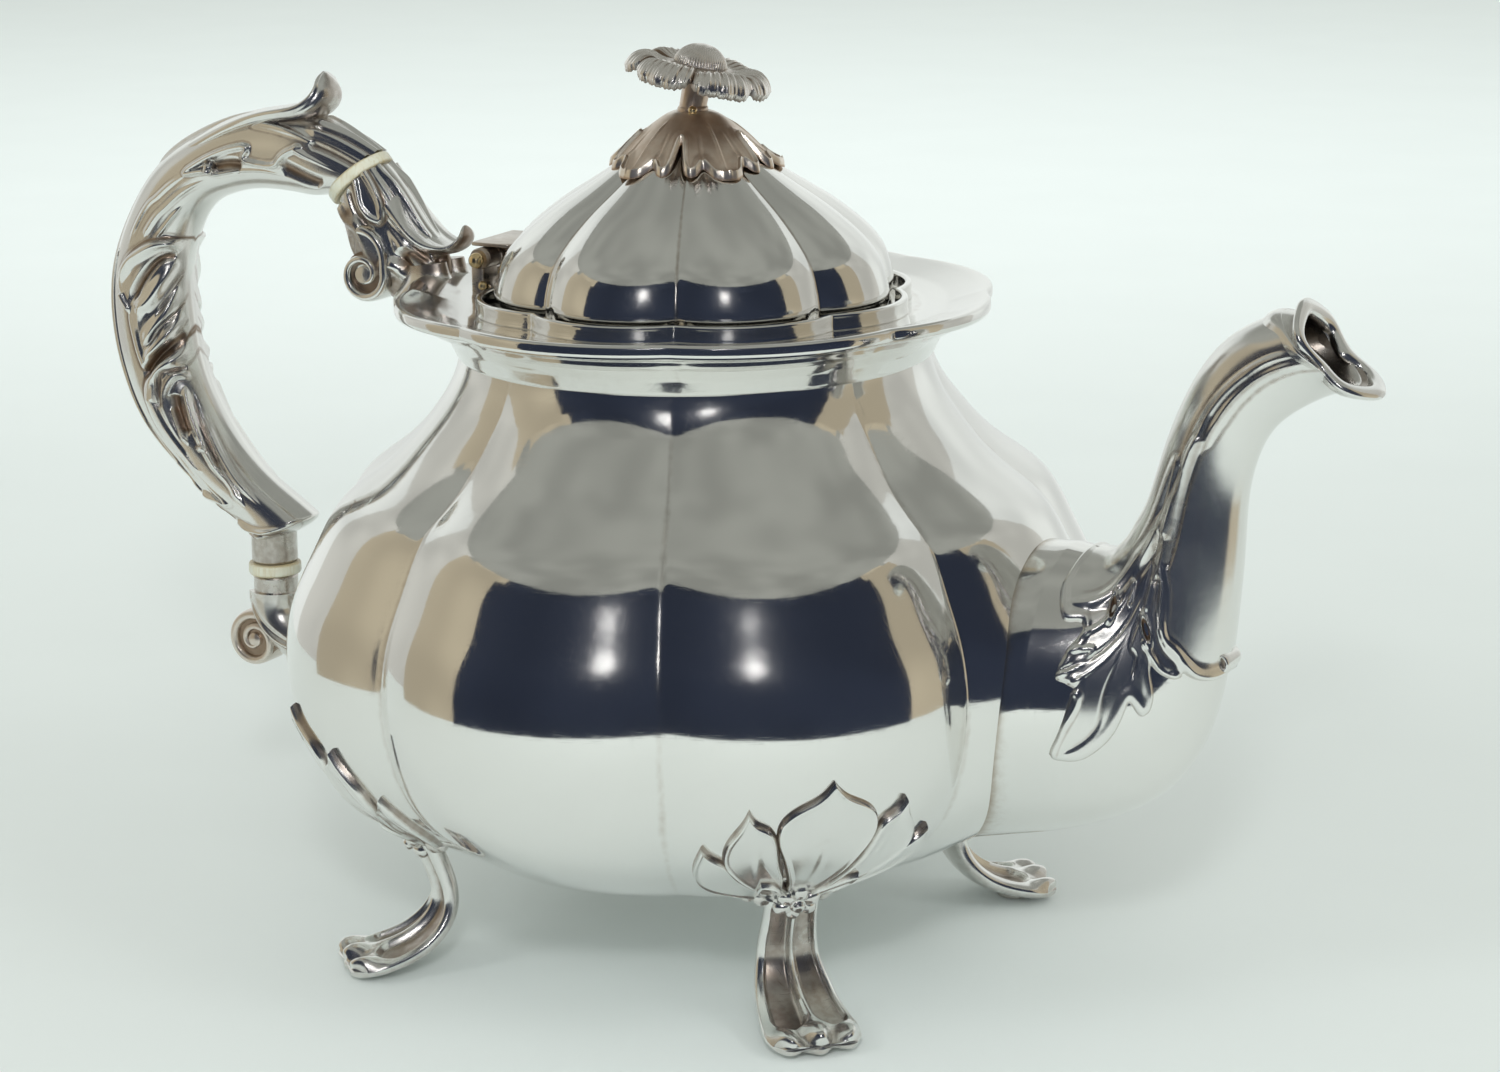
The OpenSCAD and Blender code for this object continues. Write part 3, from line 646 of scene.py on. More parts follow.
def slab(shape, outline, low, high, edge, stain):
    """A level plate with rounded edges: an outline seen from above, from low to high."""
    flat = np.array(outline, float)
    ahead = np.roll(flat, -1, axis=0)
    tangent = ahead - np.roll(flat, 1, axis=0)
    area = np.sum(flat[:, 0] * ahead[:, 1] - flat[:, 1] * ahead[:, 0])
    inward = unit(np.stack([-tangent[:, 1], tangent[:, 0]], axis=1)) * np.sign(area)
    turns = np.radians([90, 60, 30, 0])
    levels = [(edge * (1 - math.cos(t)), low + edge * (1 - math.sin(t))) for t in turns]
    levels += [(inset, high + low - z) for inset, z in levels[::-1]]
    rings = [np.column_stack([flat + inward * inset, np.full(len(flat), z)])
             for inset, z in levels]
    shape.grid(np.array(rings), stain)


# ---------------------------------------------------------------- rim, collar and lid

def blend_groove(radius, inner, outer, groove):
    """Round at the inner radius, and as deep as groove at the outer one."""
    return 1 - (1 - groove) * smoothstep(inner, outer, radius)


def rim_flange():
    top, edge = FLANGE_H + FLANGE_RISE, 2.6
    cove = NECK_R + 0.15
    outline = rounded([
        (MOUTH_R, FLANGE_H - 1.4), (MOUTH_R, FLANGE_H), (COLLAR_R + 1, FLANGE_H + 0.05),
        (50, FLANGE_H + 0.75), (FLANGE_R - 2.2, top - 0.25), (FLANGE_R - 0.7, top + 0.02),
        (FLANGE_R, top - 0.5), (FLANGE_R, top - edge + 0.3), (FLANGE_R - 0.9, top - edge - 0.25),
        (FLANGE_R - 4.5, top - edge - 1.2), (cove + 5.8, FLANGE_H - 2.4),
        (cove + 3.0, FLANGE_H - 3.7), (cove + 1.3, FLANGE_H - 5.3), (cove + 0.3, FLANGE_H - 7.2),
        (cove - 0.5, FLANGE_H - 9), (cove - 0.9, FLANGE_H - 9),
        (cove - 0.9, FLANGE_H - 1.4)], 0.9, 5)
    radius, height = outline[:, :1], outline[:, 1:2]
    low = smoothstep(FLANGE_H - 1.6, FLANGE_H - 3, height - 0.1 * radius + 5)
    stain = 0.1 * low + 0.3 * bump(radius - COLLAR_R, 1.4)
    groove = blend_groove(outline[:, 0], 47, 57, 0.962)
    points = lobed_sheet(outline, groove, SHEET_ANGLES, 0.8)
    Shape().grid(points, stain, loop=True).build(
        "rim_flange_sheet", "pot", "polished_silver", "rim_flange")


def collar_ring():
    outline = rounded([
        (COLLAR_R - 1.6, FLANGE_H - 0.05), (COLLAR_R + 0.15, FLANGE_H - 0.05),
        (COLLAR_R - 0.1, FLANGE_H + 0.9), (COLLAR_R, FLANGE_H + COLLAR_RISE),
        (COLLAR_R - 1.5, FLANGE_H + COLLAR_RISE)], 0.55, 5)
    stain = 0.35 * smoothstep(COLLAR_R - 1, COLLAR_R - 1.6, outline[:, :1])
    points = lobed_sheet(outline, 0.923, SHEET_ANGLES, 0.6)
    Shape().grid(points, stain, loop=True).build(
        "collar_ring_wire", "pot", "polished_silver", "collar_ring")


LID_OUTLINE = [
    (0.985 * LID_R, 130.9), (LID_R, 133.6), (0.985 * LID_R, 137.4), (0.945 * LID_R, 141.4),
    (0.87 * LID_R, 145), (0.776 * LID_R, 148.2), (0.657 * LID_R, 151.6), (0.535 * LID_R, 154.6),
    (0.41 * LID_R, 157.8), (0.29 * LID_R, 161), (0.18 * LID_R, 163.6), (3, 165)]


def lid_dome():
    outer = spline(LID_OUTLINE, 150)
    inner = np.column_stack([np.maximum(outer[:, 0] - 1.0, 1.6),
                             np.maximum(outer[:, 1] - 0.9, outer[0, 1] + 0.02)])
    outline = np.vstack([outer, inner[::-1]])
    points = lobed_sheet(outline, LID_GROOVE, SHEET_ANGLES, 0.55)
    stain = groove_stain(SHEET_ANGLES, 1.4, 0.5)[None] * smoothstep(8, 14, outline[:, :1])
    stain = np.maximum(stain, 0.55 * smoothstep(18, 12, outline[:, :1]))
    Shape().grid(points, stain, loop=True).build(
        "lid_dome_sheet", "lid", "polished_silver", "lid_dome")


# ---------------------------------------------------------------- hinge

HINGE_X, HINGE_H, HINGE_W = -43.6, 137.8, 20.0
KNUCKLE_R, LID_KNUCKLE_W, KNUCKLE_GAP = 2.2, 7.6, 0.35
LEAF_END, LEAF_HALF_W = -37.6, 8.2
PIN_R, PIN_END = 0.95, HINGE_W / 2 + 0.7
ACROSS = (0, 1, 0)                 # axis of every part that is turned sideways on the pot


def knuckle(shape, middle, width):
    """Barrel of the hinge with eased rims and a fine turned line near each end."""
    half = width / 2
    profile = [(1.05, -half), (KNUCKLE_R - 0.25, -half), (KNUCKLE_R, -half + 0.3)]
    for side in (-1, 1):
        line = side * (half - 0.9)
        profile += [(KNUCKLE_R, line - 0.18), (KNUCKLE_R - 0.16, line), (KNUCKLE_R, line + 0.18)]
    profile += [(KNUCKLE_R, half - 0.3), (KNUCKLE_R - 0.25, half), (1.05, half)]
    turn_part(shape, profile, (HINGE_X, middle, HINGE_H), ACROSS, 56, True, 0.5)


def hinge_plate():
    shape = Shape()
    side_w = (HINGE_W - LID_KNUCKLE_W) / 2 - KNUCKLE_GAP
    back, front = HINGE_X - 1.8, HINGE_X + 0.9
    for side in (-1, 1):
        middle = side * (HINGE_W - side_w) / 2
        knuckle(shape, middle, side_w)
        block = rounded(rectangle(back, front, middle - side_w / 2, middle + side_w / 2), 0.4)
        slab(shape, block, FLANGE_H + 0.02, HINGE_H - 0.6, 0.3, 0.3)
    bar_w = HINGE_W / 2 - 1
    bar = rounded(rectangle(back + 0.25, front - 0.25, -bar_w, bar_w), 0.4)
    slab(shape, bar, FLANGE_H + 0.1, HINGE_H - KNUCKLE_R - 0.4, 0.3, 0.6)
    shape.build("hinge_plate_box", "pot", "tarnished_silver", "hinge_plate")


def hinge_pin():
    shape = Shape()
    turn_part(shape, [(PIN_R, -PIN_END), (PIN_R, PIN_END)], (HINGE_X, 0, HINGE_H), ACROSS, 32)
    for side in (-1, 1):
        ball(shape, (HINGE_X + 0.3, side * (HINGE_W / 2 + 1.3), HINGE_H), 1.6)
        ball(shape, (HINGE_X + 1.0, side * (HINGE_W / 2 + 0.3), FLANGE_H + 2.2), 0.95)
    shape.build("hinge_pin_with_balls", "pot", "gilt", "hinge_pin")


def hinge_leaf():
    shape = Shape()
    knuckle(shape, 0, LID_KNUCKLE_W)
    top, half, root = HINGE_H + KNUCKLE_R, LID_KNUCKLE_W / 2, -0.955 * LID_R
    tongue = rounded([(HINGE_X, -half), (root - 1.4, -half), (root, -half + 1.6),
                      (root, half - 1.6), (root - 1.4, half), (HINGE_X, half)], 0.5)
    slab(shape, tongue, top - 1.6, top + 0.2, 0.35, 0.6)
    plate = rounded(rectangle(HINGE_X - 2.9, LEAF_END, -LEAF_HALF_W, LEAF_HALF_W), 0.8)
    slab(shape, plate, top + 0.1, top + 0.85, 0.25, 0.35)
    shape.build("hinge_leaf_tongue", "lid", "tarnished_silver", "hinge_leaf")


# ---------------------------------------------------------------- finial: calyx and flower

DOME_TOP, FLOWER_H = 165.0, 176.2
FLOWER_SHIFT, FLOWER_TURN, FLOWER_TILT = (1.2, 0.6), 22, 12
PETALS, PETAL_R = 6, 14.4
CALYX_TURN, CALYX_LEAVES = 34, 5
HUB_R, HUB_HEIGHTS = 1.2, (168.6, 167.2)     # the hole through the calyx, top and bottom
BEAD_R, BEAD_TURN, BEAD_AWAY = 0.9, -62.0, 3.5
FINIAL_ANGLES = around(1440)
CALYX_LEAF = [
    (0, 17.9), (5, 17.8), (10, 17.0), (13.5, 15.6), (16, 14.9), (18.5, 15.1), (22, 16.2),
    (26, 16.6), (29.4, 16.1), (32, 14.9), (33.6, 13.0), (34.8, 11.2), (36, 10.2)]
CALYX_SLOPE = [(0, 168.9), (3.4, 168.6), (6.0, 167.6), (9.0, 165.6), (12.0, 162.9),
               (14.4, 160.3), (16.2, 158.6), (18.0, 157.7)]


def polar_outline(points, repeats, turn, passes):
    """Softened radius at the finial's angles, from (angle, radius) points of half a repeat."""
    p = np.array(points)
    radius = np.interp(np.abs(fold(FINIAL_ANGLES - turn, 180 / repeats)), p[:, 0], p[:, 1])
    for _ in range(passes):
        radius = (np.roll(radius, 1) + 2 * radius + np.roll(radius, -1)) / 4
    return radius


def edge_distance(flat, loop):
    """Distance from points to a closed outline."""
    best = np.full(flat.shape[:-1], FAR)
    for a, b in zip(loop, np.roll(loop, -1, axis=0)):
        run = b - a
        t = np.clip(((flat - a) @ run) / (run @ run + 1e-12), 0, 1)
        best = np.minimum(best, np.linalg.norm(flat - a - t[..., None] * run, axis=-1))
    return best


def calyx():
    angles = FINIAL_ANGLES
    edge = polar_outline(CALYX_LEAF, CALYX_LEAVES, CALYX_TURN, 14)
    shares = np.concatenate([np.linspace(0.2, 0.9, 30), np.linspace(0.91, 1, 10)])[:, None]
    flat = polar(angles[None], shares * edge)
    radius = np.linalg.norm(flat, axis=-1)
    slope = spline(CALYX_SLOPE, 80)
    base = np.interp(radius, slope[:, 0], slope[:, 1])
    depth = edge_distance(flat, polar(angles, edge)[::3])
    off = np.abs(fold(angles - CALYX_TURN, 180 / CALYX_LEAVES))[None]
    rim = 0.8 * bump(depth - 0.4, 0.62)
    hollow = 0.35 * smoothstep(1.0, 2.6, depth) * smoothstep(4, 8, radius)
    vein = 0.3 * bump(radius * np.radians(off), 0.5) * smoothstep(6, 9, radius)
    crease = 0.3 * bump(radius * np.radians(off - 17), 0.6) * smoothstep(8, 13, radius)
    curl = 0.25 * smoothstep(3.2, 0, depth) * smoothstep(11, 15, radius)
    high = base + rim - hollow + vein - crease + curl
    high -= 0.5 * smoothstep(0.3, 0.0, depth)
    stain = np.clip(0.6 - 0.6 * bump(depth - 0.3, 1.0), 0, 1) * smoothstep(3, 6, radius)
    stain = np.maximum(stain, 0.75 * bump(depth - 1.3, 0.5))
    under = np.dstack([flat, base - 0.9 + curl])[::-1]
    hub = polar(angles, HUB_R)
    hub_top, hub_low = (np.column_stack([hub, np.full(len(hub), z)]) for z in HUB_HEIGHTS)
    grid = np.vstack([hub_top[None], np.dstack([flat, high]), under, hub_low[None]])
    stains = np.vstack([stain[:1], stain, np.ones_like(stain), np.ones_like(stain[:1])])
    Shape().grid(grid, stains, loop=True).build(
        "finial_calyx_leaves", "lid", "tarnished_silver", "calyx", finish="warm_silver")


def flower_place(points):
    """From the flower's own place, its middle at the origin, to where it sits on the stem."""
    t = math.radians(FLOWER_TILT)
    c, s = math.cos(math.radians(FLOWER_TURN)), math.sin(math.radians(FLOWER_TURN))
    spin = np.array([[c, -s, 0], [s, c, 0], [0, 0, 1]])
    tilt = np.array([[math.cos(t), 0, math.sin(t)], [0, 1, 0], [-math.sin(t), 0, math.cos(t)]])
    return points @ (spin @ tilt).T + [*FLOWER_SHIFT, FLOWER_H]


PETAL_EDGE = [(0, PETAL_R), (14, 14.35), (22, 14.1), (26, 13.6), (28.5, 12.9), (30, 12.4)]
PETAL_TOP = [(1.0, 1.8), (4.6, 1.5), (7.0, 1.0), (9.4, 1.25), (11.2, 1.65), (12.5, 1.2),
             (13.5, 0.25), (14.1, -0.8), (PETAL_R, -1.7)]


def finial_flower():
    angles = FINIAL_ANGLES
    edge = polar_outline(PETAL_EDGE, PETALS, 0, 5)
    shares = np.concatenate([np.linspace(0.07, 0.82, 26), np.linspace(0.84, 1, 16)])[:, None]
    flat = polar(angles[None], shares * edge)
    radius = np.linalg.norm(flat, axis=-1)
    curve = spline(PETAL_TOP, 80)
    reach = shares * PETAL_R
    base = np.interp(0.55 * reach + 0.45 * radius, curve[:, 0], curve[:, 1])
    half = 180 / PETALS
    off = fold(angles, half)
    across = off[None] / half
    crown = 0.55 * (1 - across ** 2) + 0.3 * across - 0.3
    grow = smoothstep(5.2, 10, radius)
    line = np.cos(np.radians(off * 24 + 30 * np.sin(np.radians(angles * 3.0))))[None]
    ridges = 0.26 * (np.abs(line) ** 0.7 - 0.5) * grow
    fine = 0.11 * np.cos(np.radians(off * 91 + 40 * np.sin(np.radians(off * 12))))[None] * grow
    tips = 0.25 * np.cos(np.radians(angles * 5 + 20))[None] * smoothstep(9, 14, radius)
    high = base + crown * grow + ridges + fine + tips
    waved = flat * (1 + 0.012 * line[..., None] * smoothstep(11, 14, radius)[..., None])
    low = high - (0.75 + 0.35 * grow) - 0.2
    under = np.dstack([waved * (1 - 0.035 * grow[..., None]), low])[::-1]
    dark = np.clip(0.45 - 3.2 * ridges, 0, 1) * grow * smoothstep(14.2, 11, radius)
    dark = np.maximum(dark, 0.6 * smoothstep(8.5, 5.4, radius))
    dark = np.maximum(dark, 0.8 * smoothstep(0.93, 1.0, np.abs(across)))
    grid = flower_place(np.vstack([np.dstack([waved, high]), under]))
    Shape().grid(grid, np.vstack([dark, np.full_like(dark, 0.6)])).build(
        "finial_flower_petals", "lid", "cast_silver", "finial_flower", finish="chased_silver")


def finial_boss():
    def scored(r, h, a):
        groove = np.abs(np.cos(a * 26 + 1.6 * r / 5)) ** 0.6
        return r + 0.16 * groove * smoothstep(1.2, 2.4, r), h
    t = np.linspace(0.04, 1.35, 46)
    profile = np.stack([5.3 * np.sin(t), 0.5 + 4.9 * np.cos(t)], axis=1)
    profile = np.vstack([profile, [5.2, 1.3], [0.5, 1.3]])
    shape = turn_part(Shape(), profile, count=624, flute=scored, stain=0.25)
    shape.points = [flower_place(p) for p in shape.points]
    shape.build("finial_boss_dome", "lid", "cast_silver", "finial_boss", finish="chased_silver")


def finial_stem():
    half = math.pi / 8             # half of one of the eight facets

    def facets(r, h, a):
        flat_r = math.cos(half) / np.cos(fold(a, half))
        return r * (1 + (flat_r - 0.96) * smoothstep(169.8, 170.6, h)), h
    outline = rounded([(2.7, 168), (3.0, 168.4), (3.0, 169.2), (2.7, 169.5), (2.7, 173.9),
                       (3.0, 174.6), (3.3, 176.3)], 0.25, closed=False)
    shape = turn_part(Shape(), outline, count=128, flute=facets, stain=0.6)
    lean = np.array([*FLOWER_SHIFT, 0])
    shape.points = [p + lean * smoothstep(168, 177, p[:, 2:]) for p in shape.points]
    shape.build("finial_stem_facets", "lid", "tarnished_silver", "finial_stem",
                finish="warm_silver")


def finial_bead():
    shape = Shape()
    x, y = polar(BEAD_TURN, BEAD_AWAY)
    ball(shape, (x, y, DOME_TOP + 4), BEAD_R, 0.1)
    shape.build("finial_bead_ball", "lid", "gilt", "finial_bead")


# ---------------------------------------------------------------- spout

SPOUT_WALL = 1.0
SPOUT_SUNK = 0.35                  # how far the casting lies under the bulb's surface elsewhere
SPOUT_EYELETS = [                  # u, angle, half length, half width, lean
    (0.241, 124, 2.6, 1.3, 20), (0.328, 95, 2.2, 1.2, 70)]
CASTING_EDGE = [                   # outline of the casting: it has leaf tips towards the belly
    (1.2, -8), (0.383, -8), (0.378, 10), (0.366, 26), (0.352, 46), (0.347, 56), (0.338, 55),
    (0.324, 61), (0.306, 73), (0.297, 82), (0.286, 78), (0.272, 69), (0.25, 65.5), (0.229, 68),
    (0.221, 79), (0.214, 79), (0.163, 70), (0.1, 66), (0.045, 71.5), (0.08, 84), (0.1, 96),
    (0.114, 99), (0.062, 104), (0.095, 116), (0.135, 122), (0.128, 127), (0.075, 128),
    (0.056, 136), (0.045, 146), (0.052, 154), (0.06, 168), (0.062, 188), (1.2, 188)]
SPOUT_RIBS = [                     # path, width, height, both ends' taper
    ([(0.07, 138), (0.148, 135), (0.283, 132), (0.449, 123), (0.531, 114), (0.627, 104)],
     1.9, 0.75, (0.1, 0.25)),
    ([(0.15, 131), (0.226, 128), (0.393, 120), (0.511, 114), (0.6, 107)], 1.1, 0.4, (0.2, 0.3)),
    ([(1.02, 100), (0.89, 99), (0.81, 98), (0.727, 99), (0.642, 111), (0.506, 129),
      (0.4, 140)], 1.6, 0.6, (0, 0.35)),
    ([(1.02, 87), (0.897, 90), (0.799, 87), (0.724, 94), (0.647, 100), (0.546, 102),
      (0.446, 95), (0.39, 87), (0.361, 70), (0.357, 48), (0.37, 26), (0.385, 4)],
     1.7, 0.8, (0, 0)),
    ([(0.064, 105), (0.098, 115), (0.15, 120.5), (0.221, 121), (0.31, 116), (0.42, 110)],
     0.9, 0.3, (0.05, 0.3)),
    ([(0.05, 72), (0.085, 85), (0.11, 97), (0.175, 104), (0.28, 106), (0.4, 104)],
     1.0, 0.35, (0.05, 0.3)),
    ([(0.3, 96), (0.309, 87), (0.308, 75), (0.326, 62), (0.343, 58)], 1.2, 0.5, (0.1, 0.1)),
    ([(0.341, 101), (0.42, 104), (0.5, 107), (0.6, 104)], 1.0, 0.35, (0.1, 0.3))]
SPOUT_VALLEYS = [                  # as in SPOUT_RIBS, but cut in
    ([(0.06, 72), (0.108, 75), (0.155, 83), (0.201, 97), (0.26, 104)], 0.8, -0.3, (0.1, 0.3)),
    ([(0.3, 125), (0.42, 117), (0.52, 110), (0.66, 103), (0.8, 93), (1.0, 94)], 1.0, -0.35,
     (0.2, 0)),
    ([(0.235, 86), (0.27, 93), (0.33, 104), (0.42, 107), (0.5, 110), (0.58, 108)], 0.8, -0.35,
     (0.1, 0.2)),
    ([(0.36, 93), (0.44, 99), (0.54, 105), (0.64, 104)], 0.9, -0.35, (0.2, 0.2)),
    ([(0.11, 101), (0.18, 109), (0.27, 110), (0.38, 107)], 0.7, -0.3, (0.1, 0.3))]


ROOT_H, ROOT_HALF_H, ROOT_HALF_W = 60, 30, 24.6
BULB_SHARE = 0.47                  # share of the spout's rows that the smooth bulb takes up
CASTING_WALL = 0.8
CASTING_START = 8                  # the rows before this one lie inside the belly


def root_points(angles):
    """Where the bulb's edge lies on the belly, at each angle round it."""
    a = np.radians(angles)
    y, z = ROOT_HALF_W * np.sin(a), ROOT_H - ROOT_HALF_H * np.cos(a)
    return on_body(y, z, body_radius(z), 4)


def spout_bulb(points, normal, angles):
    """The smooth root of the spout: it flares out to the belly through a small fillet."""
    root = root_points(angles)
    near, flare = root - [1.5, 0, 0], root - [0.3, 0, 0]
    easing = [flare * (1 - t) + points[0] * t for t in (0.25, 0.5, 0.75)]
    outer = np.concatenate([[near, flare], easing, points])
    inner = pushed(points, normal, -SPOUT_WALL)[::-4]
    seam = np.zeros(outer.shape[:2])
    seam[:5] = [[0.9], [0.75], [0.3], [0.1], [0.0]]
    stain = np.vstack([seam, np.full(inner.shape[:2], 0.3)])
    Shape().grid(np.concatenate([outer, inner]), stain, loop=True).build(
        "spout_bulb_sheet", "pot", "polished_silver", "spout_base")


def spout_casting(points, normal, angles):
    """The leafy casting: its plate's outline, with the ribs inside it, over the spout's neck."""
    relief = Relief(points, angles)
    for path, width, height, ends in SPOUT_RIBS + SPOUT_VALLEYS:
        relief.ridge(path, width, height, ends, 0.4 if height < 0 else 0.0)
    for values in SPOUT_EYELETS:
        relief.eyelet(*values)
    ornament = relief.height.copy()
    relief.height[:] = 0
    relief.plate(CASTING_EDGE, 0.85, 1.3, 0.25, 0.04)
    inside = smoothstep(0.1, 0.6, relief.height)
    height = np.where(inside > 0, relief.height - SPOUT_SUNK + ornament * inside, -SPOUT_SUNK)
    fade = smoothstep(1.0, 0.93, relief.u)
    height = height * fade + 0.25 * (1 - fade)
    outer = pushed(points, normal, height)[CASTING_START:]
    inner = pushed(points, normal, -CASTING_WALL)[CASTING_START:][::-6]
    stain = (relief.stain * (0.3 + 0.7 * inside))[CASTING_START:]
    stain = np.vstack([stain, np.full(inner.shape[:2], 0.6)])
    Shape().grid(np.concatenate([outer, inner]), stain, loop=True).build(
        "spout_neck_casting", "pot", "cast_silver", "spout_neck", "spout_leaf_left",
        "spout_leaf_right")


def spout():
    rows = 460
    angles = folded_angles(560)
    points, normal = tube(SPOUT_SECTIONS, rows, angles)
    bulb_rows = int(rows * BULB_SHARE)
    spout_bulb(points[:bulb_rows], normal[:bulb_rows], angles)
    spout_casting(points, normal, angles)


MOUTH = (139.8, 123, 125.4, 140.9, 9.8)
MOUTH_AXIS = (0.75, 0, 0.66)
LIP_ROWS = 90


def spout_lip():
    angles = folded_angles(240)
    a = np.radians(angles)
    size = np.abs(angles)

    def ring(section, out):
        """A section of the spout, larger by out."""
        first = np.array([section[0], 0, section[1]])
        second = np.array([section[2], 0, section[3]])
        half = (first - second) / 2
        grow = (np.linalg.norm(half) + out) / np.linalg.norm(half)
        flat = (first + second) / 2 + half * grow * np.cos(a)[:, None]
        return flat + np.outer((section[4] + out) * np.sin(a), [0, 1, 0])

    def saddle(out, ahead):
        """The mouth's outline bent into a saddle, larger by out and further on by ahead."""
        bend = ahead - 0.8 + 0.7 * np.cos(a) + 1.2 * np.cos(2 * a)
        waist = 1.7 * bump(size - 122, 40) + 0.9 * bump(size - 52, 36) - 1.6 * np.sin(a) ** 8
        return (ring(MOUTH, out) + np.outer(bend, MOUTH_AXIS)
                + np.outer(waist * np.sign(np.sin(a)), [0, 1, 0]))
    last, before = SPOUT_SECTIONS[-1], SPOUT_SECTIONS[-2]
    hoops = [ring(before, -0.6), ring(last, 0.3), saddle(-1.5, -2.5), saddle(-0.5, -1.5),
             saddle(-0.05, -0.9), saddle(0.05, -0.35), saddle(-0.25, 0.1), saddle(-1.1, 0.3),
             saddle(-2.1, 0.1), saddle(-2.9, -0.6), saddle(-3.1, -1.7), ring(last, -1.4),
             ring(before, -1.2)]
    rings = spline(np.array(hoops).reshape(len(hoops), -1), LIP_ROWS)
    rings = rings.reshape(LIP_ROWS, -1, 3)
    rows = np.linspace(0, 1, LIP_ROWS)[:, None]
    stain = 0.6 * smoothstep(0.72, 0.95, rows) + 0.35 * bump(rows - 0.32, 0.07)
    Shape().grid(rings, stain, loop=True).build(
        "spout_lip_rolled", "pot", "cast_silver", "spout_lip")


# ---------------------------------------------------------------- volutes

def volute(shape, middle, outer, inner, turns, start, way, half_width, band, lead=0.0):
    """Rolled strip seen from the side: a spiral in the X-Z plane, as wide as the socket."""
    t = np.linspace(0, 1, 170)[:, None]
    a = np.radians(start + way * 360 * turns * t)
    r = outer + (inner - outer) * t ** 1.35 + lead * smoothstep(0.16, 0, t)
    thick = band * (1 - 0.4 * t)
    k = np.radians(around(32))
    radial = r - thick / 2 + thick / 2 * squared(np.cos(k), 0.6)
    across = half_width * (1 - 0.1 * t) * squared(np.sin(k), 0.45)
    points = np.stack([middle[0] + radial * np.cos(a), across, middle[1] + radial * np.sin(a)],
                      axis=-1)
    stain = np.clip(0.1 * t + 0.8 * smoothstep(-0.7, -0.98, np.cos(k))[None], 0, 1)
    shape.grid(points, stain)


def volute_core(shape, middle, outer, inner, half_width, band):
    """Fills a volute: a dark dish on each side, and a bright button in its middle."""
    centre = (middle[0], 0, middle[1])
    dish = [(0.4, -half_width * 0.72), (outer - band * 0.8, -half_width * 0.72)]
    turn_part(shape, there_and_back(dish), centre, ACROSS, 80, stain=0.8)
    button = [(0.3, -half_width * 0.92), (inner - 0.5, -half_width * 0.9),
              (inner - 0.1, -half_width * 0.84)]
    turn_part(shape, there_and_back(button), centre, ACROSS, 60, stain=0.1)


# ---------------------------------------------------------------- handle

RING_MID, RING_AXIS = np.array([-77.4, 0, 150.9]), np.array([0.6494, 0, -0.7604])
LOWER_RING_MID = np.array([-102.5, 0, 66.0])
CAST_SUNK = 0.15                   # how far the castings' plain ground lies under their tube
RING_HALF, RING_REACH = 1.3, 16    # half an insulator's thickness; how far its cut reaches
HANDLE_PLATES = [                  # outline, height, edge, rim, dish
    ([(0.561, 82), (0.54, 68), (0.514, 60), (0.476, 78), (0.449, 102), (0.44, 132), (0.446, 190),
      (0.6, 190), (0.618, 142), (0.638, 110), (0.66, 88), (0.63, 84), (0.6, 82), (0.575, 80)],
     0.7, 0.9, 0.2, 0.0),
    ([(0.6, 190), (0.607, 172), (0.63, 148), (0.642, 118), (0.664, 92), (0.69, 76), (0.73, 70),
      (0.775, 68), (0.83, 60), (0.9, 44), (0.97, 52), (1.1, 80), (1.1, 190)],
     0.7, 0.9, 0.3, 0.0)]
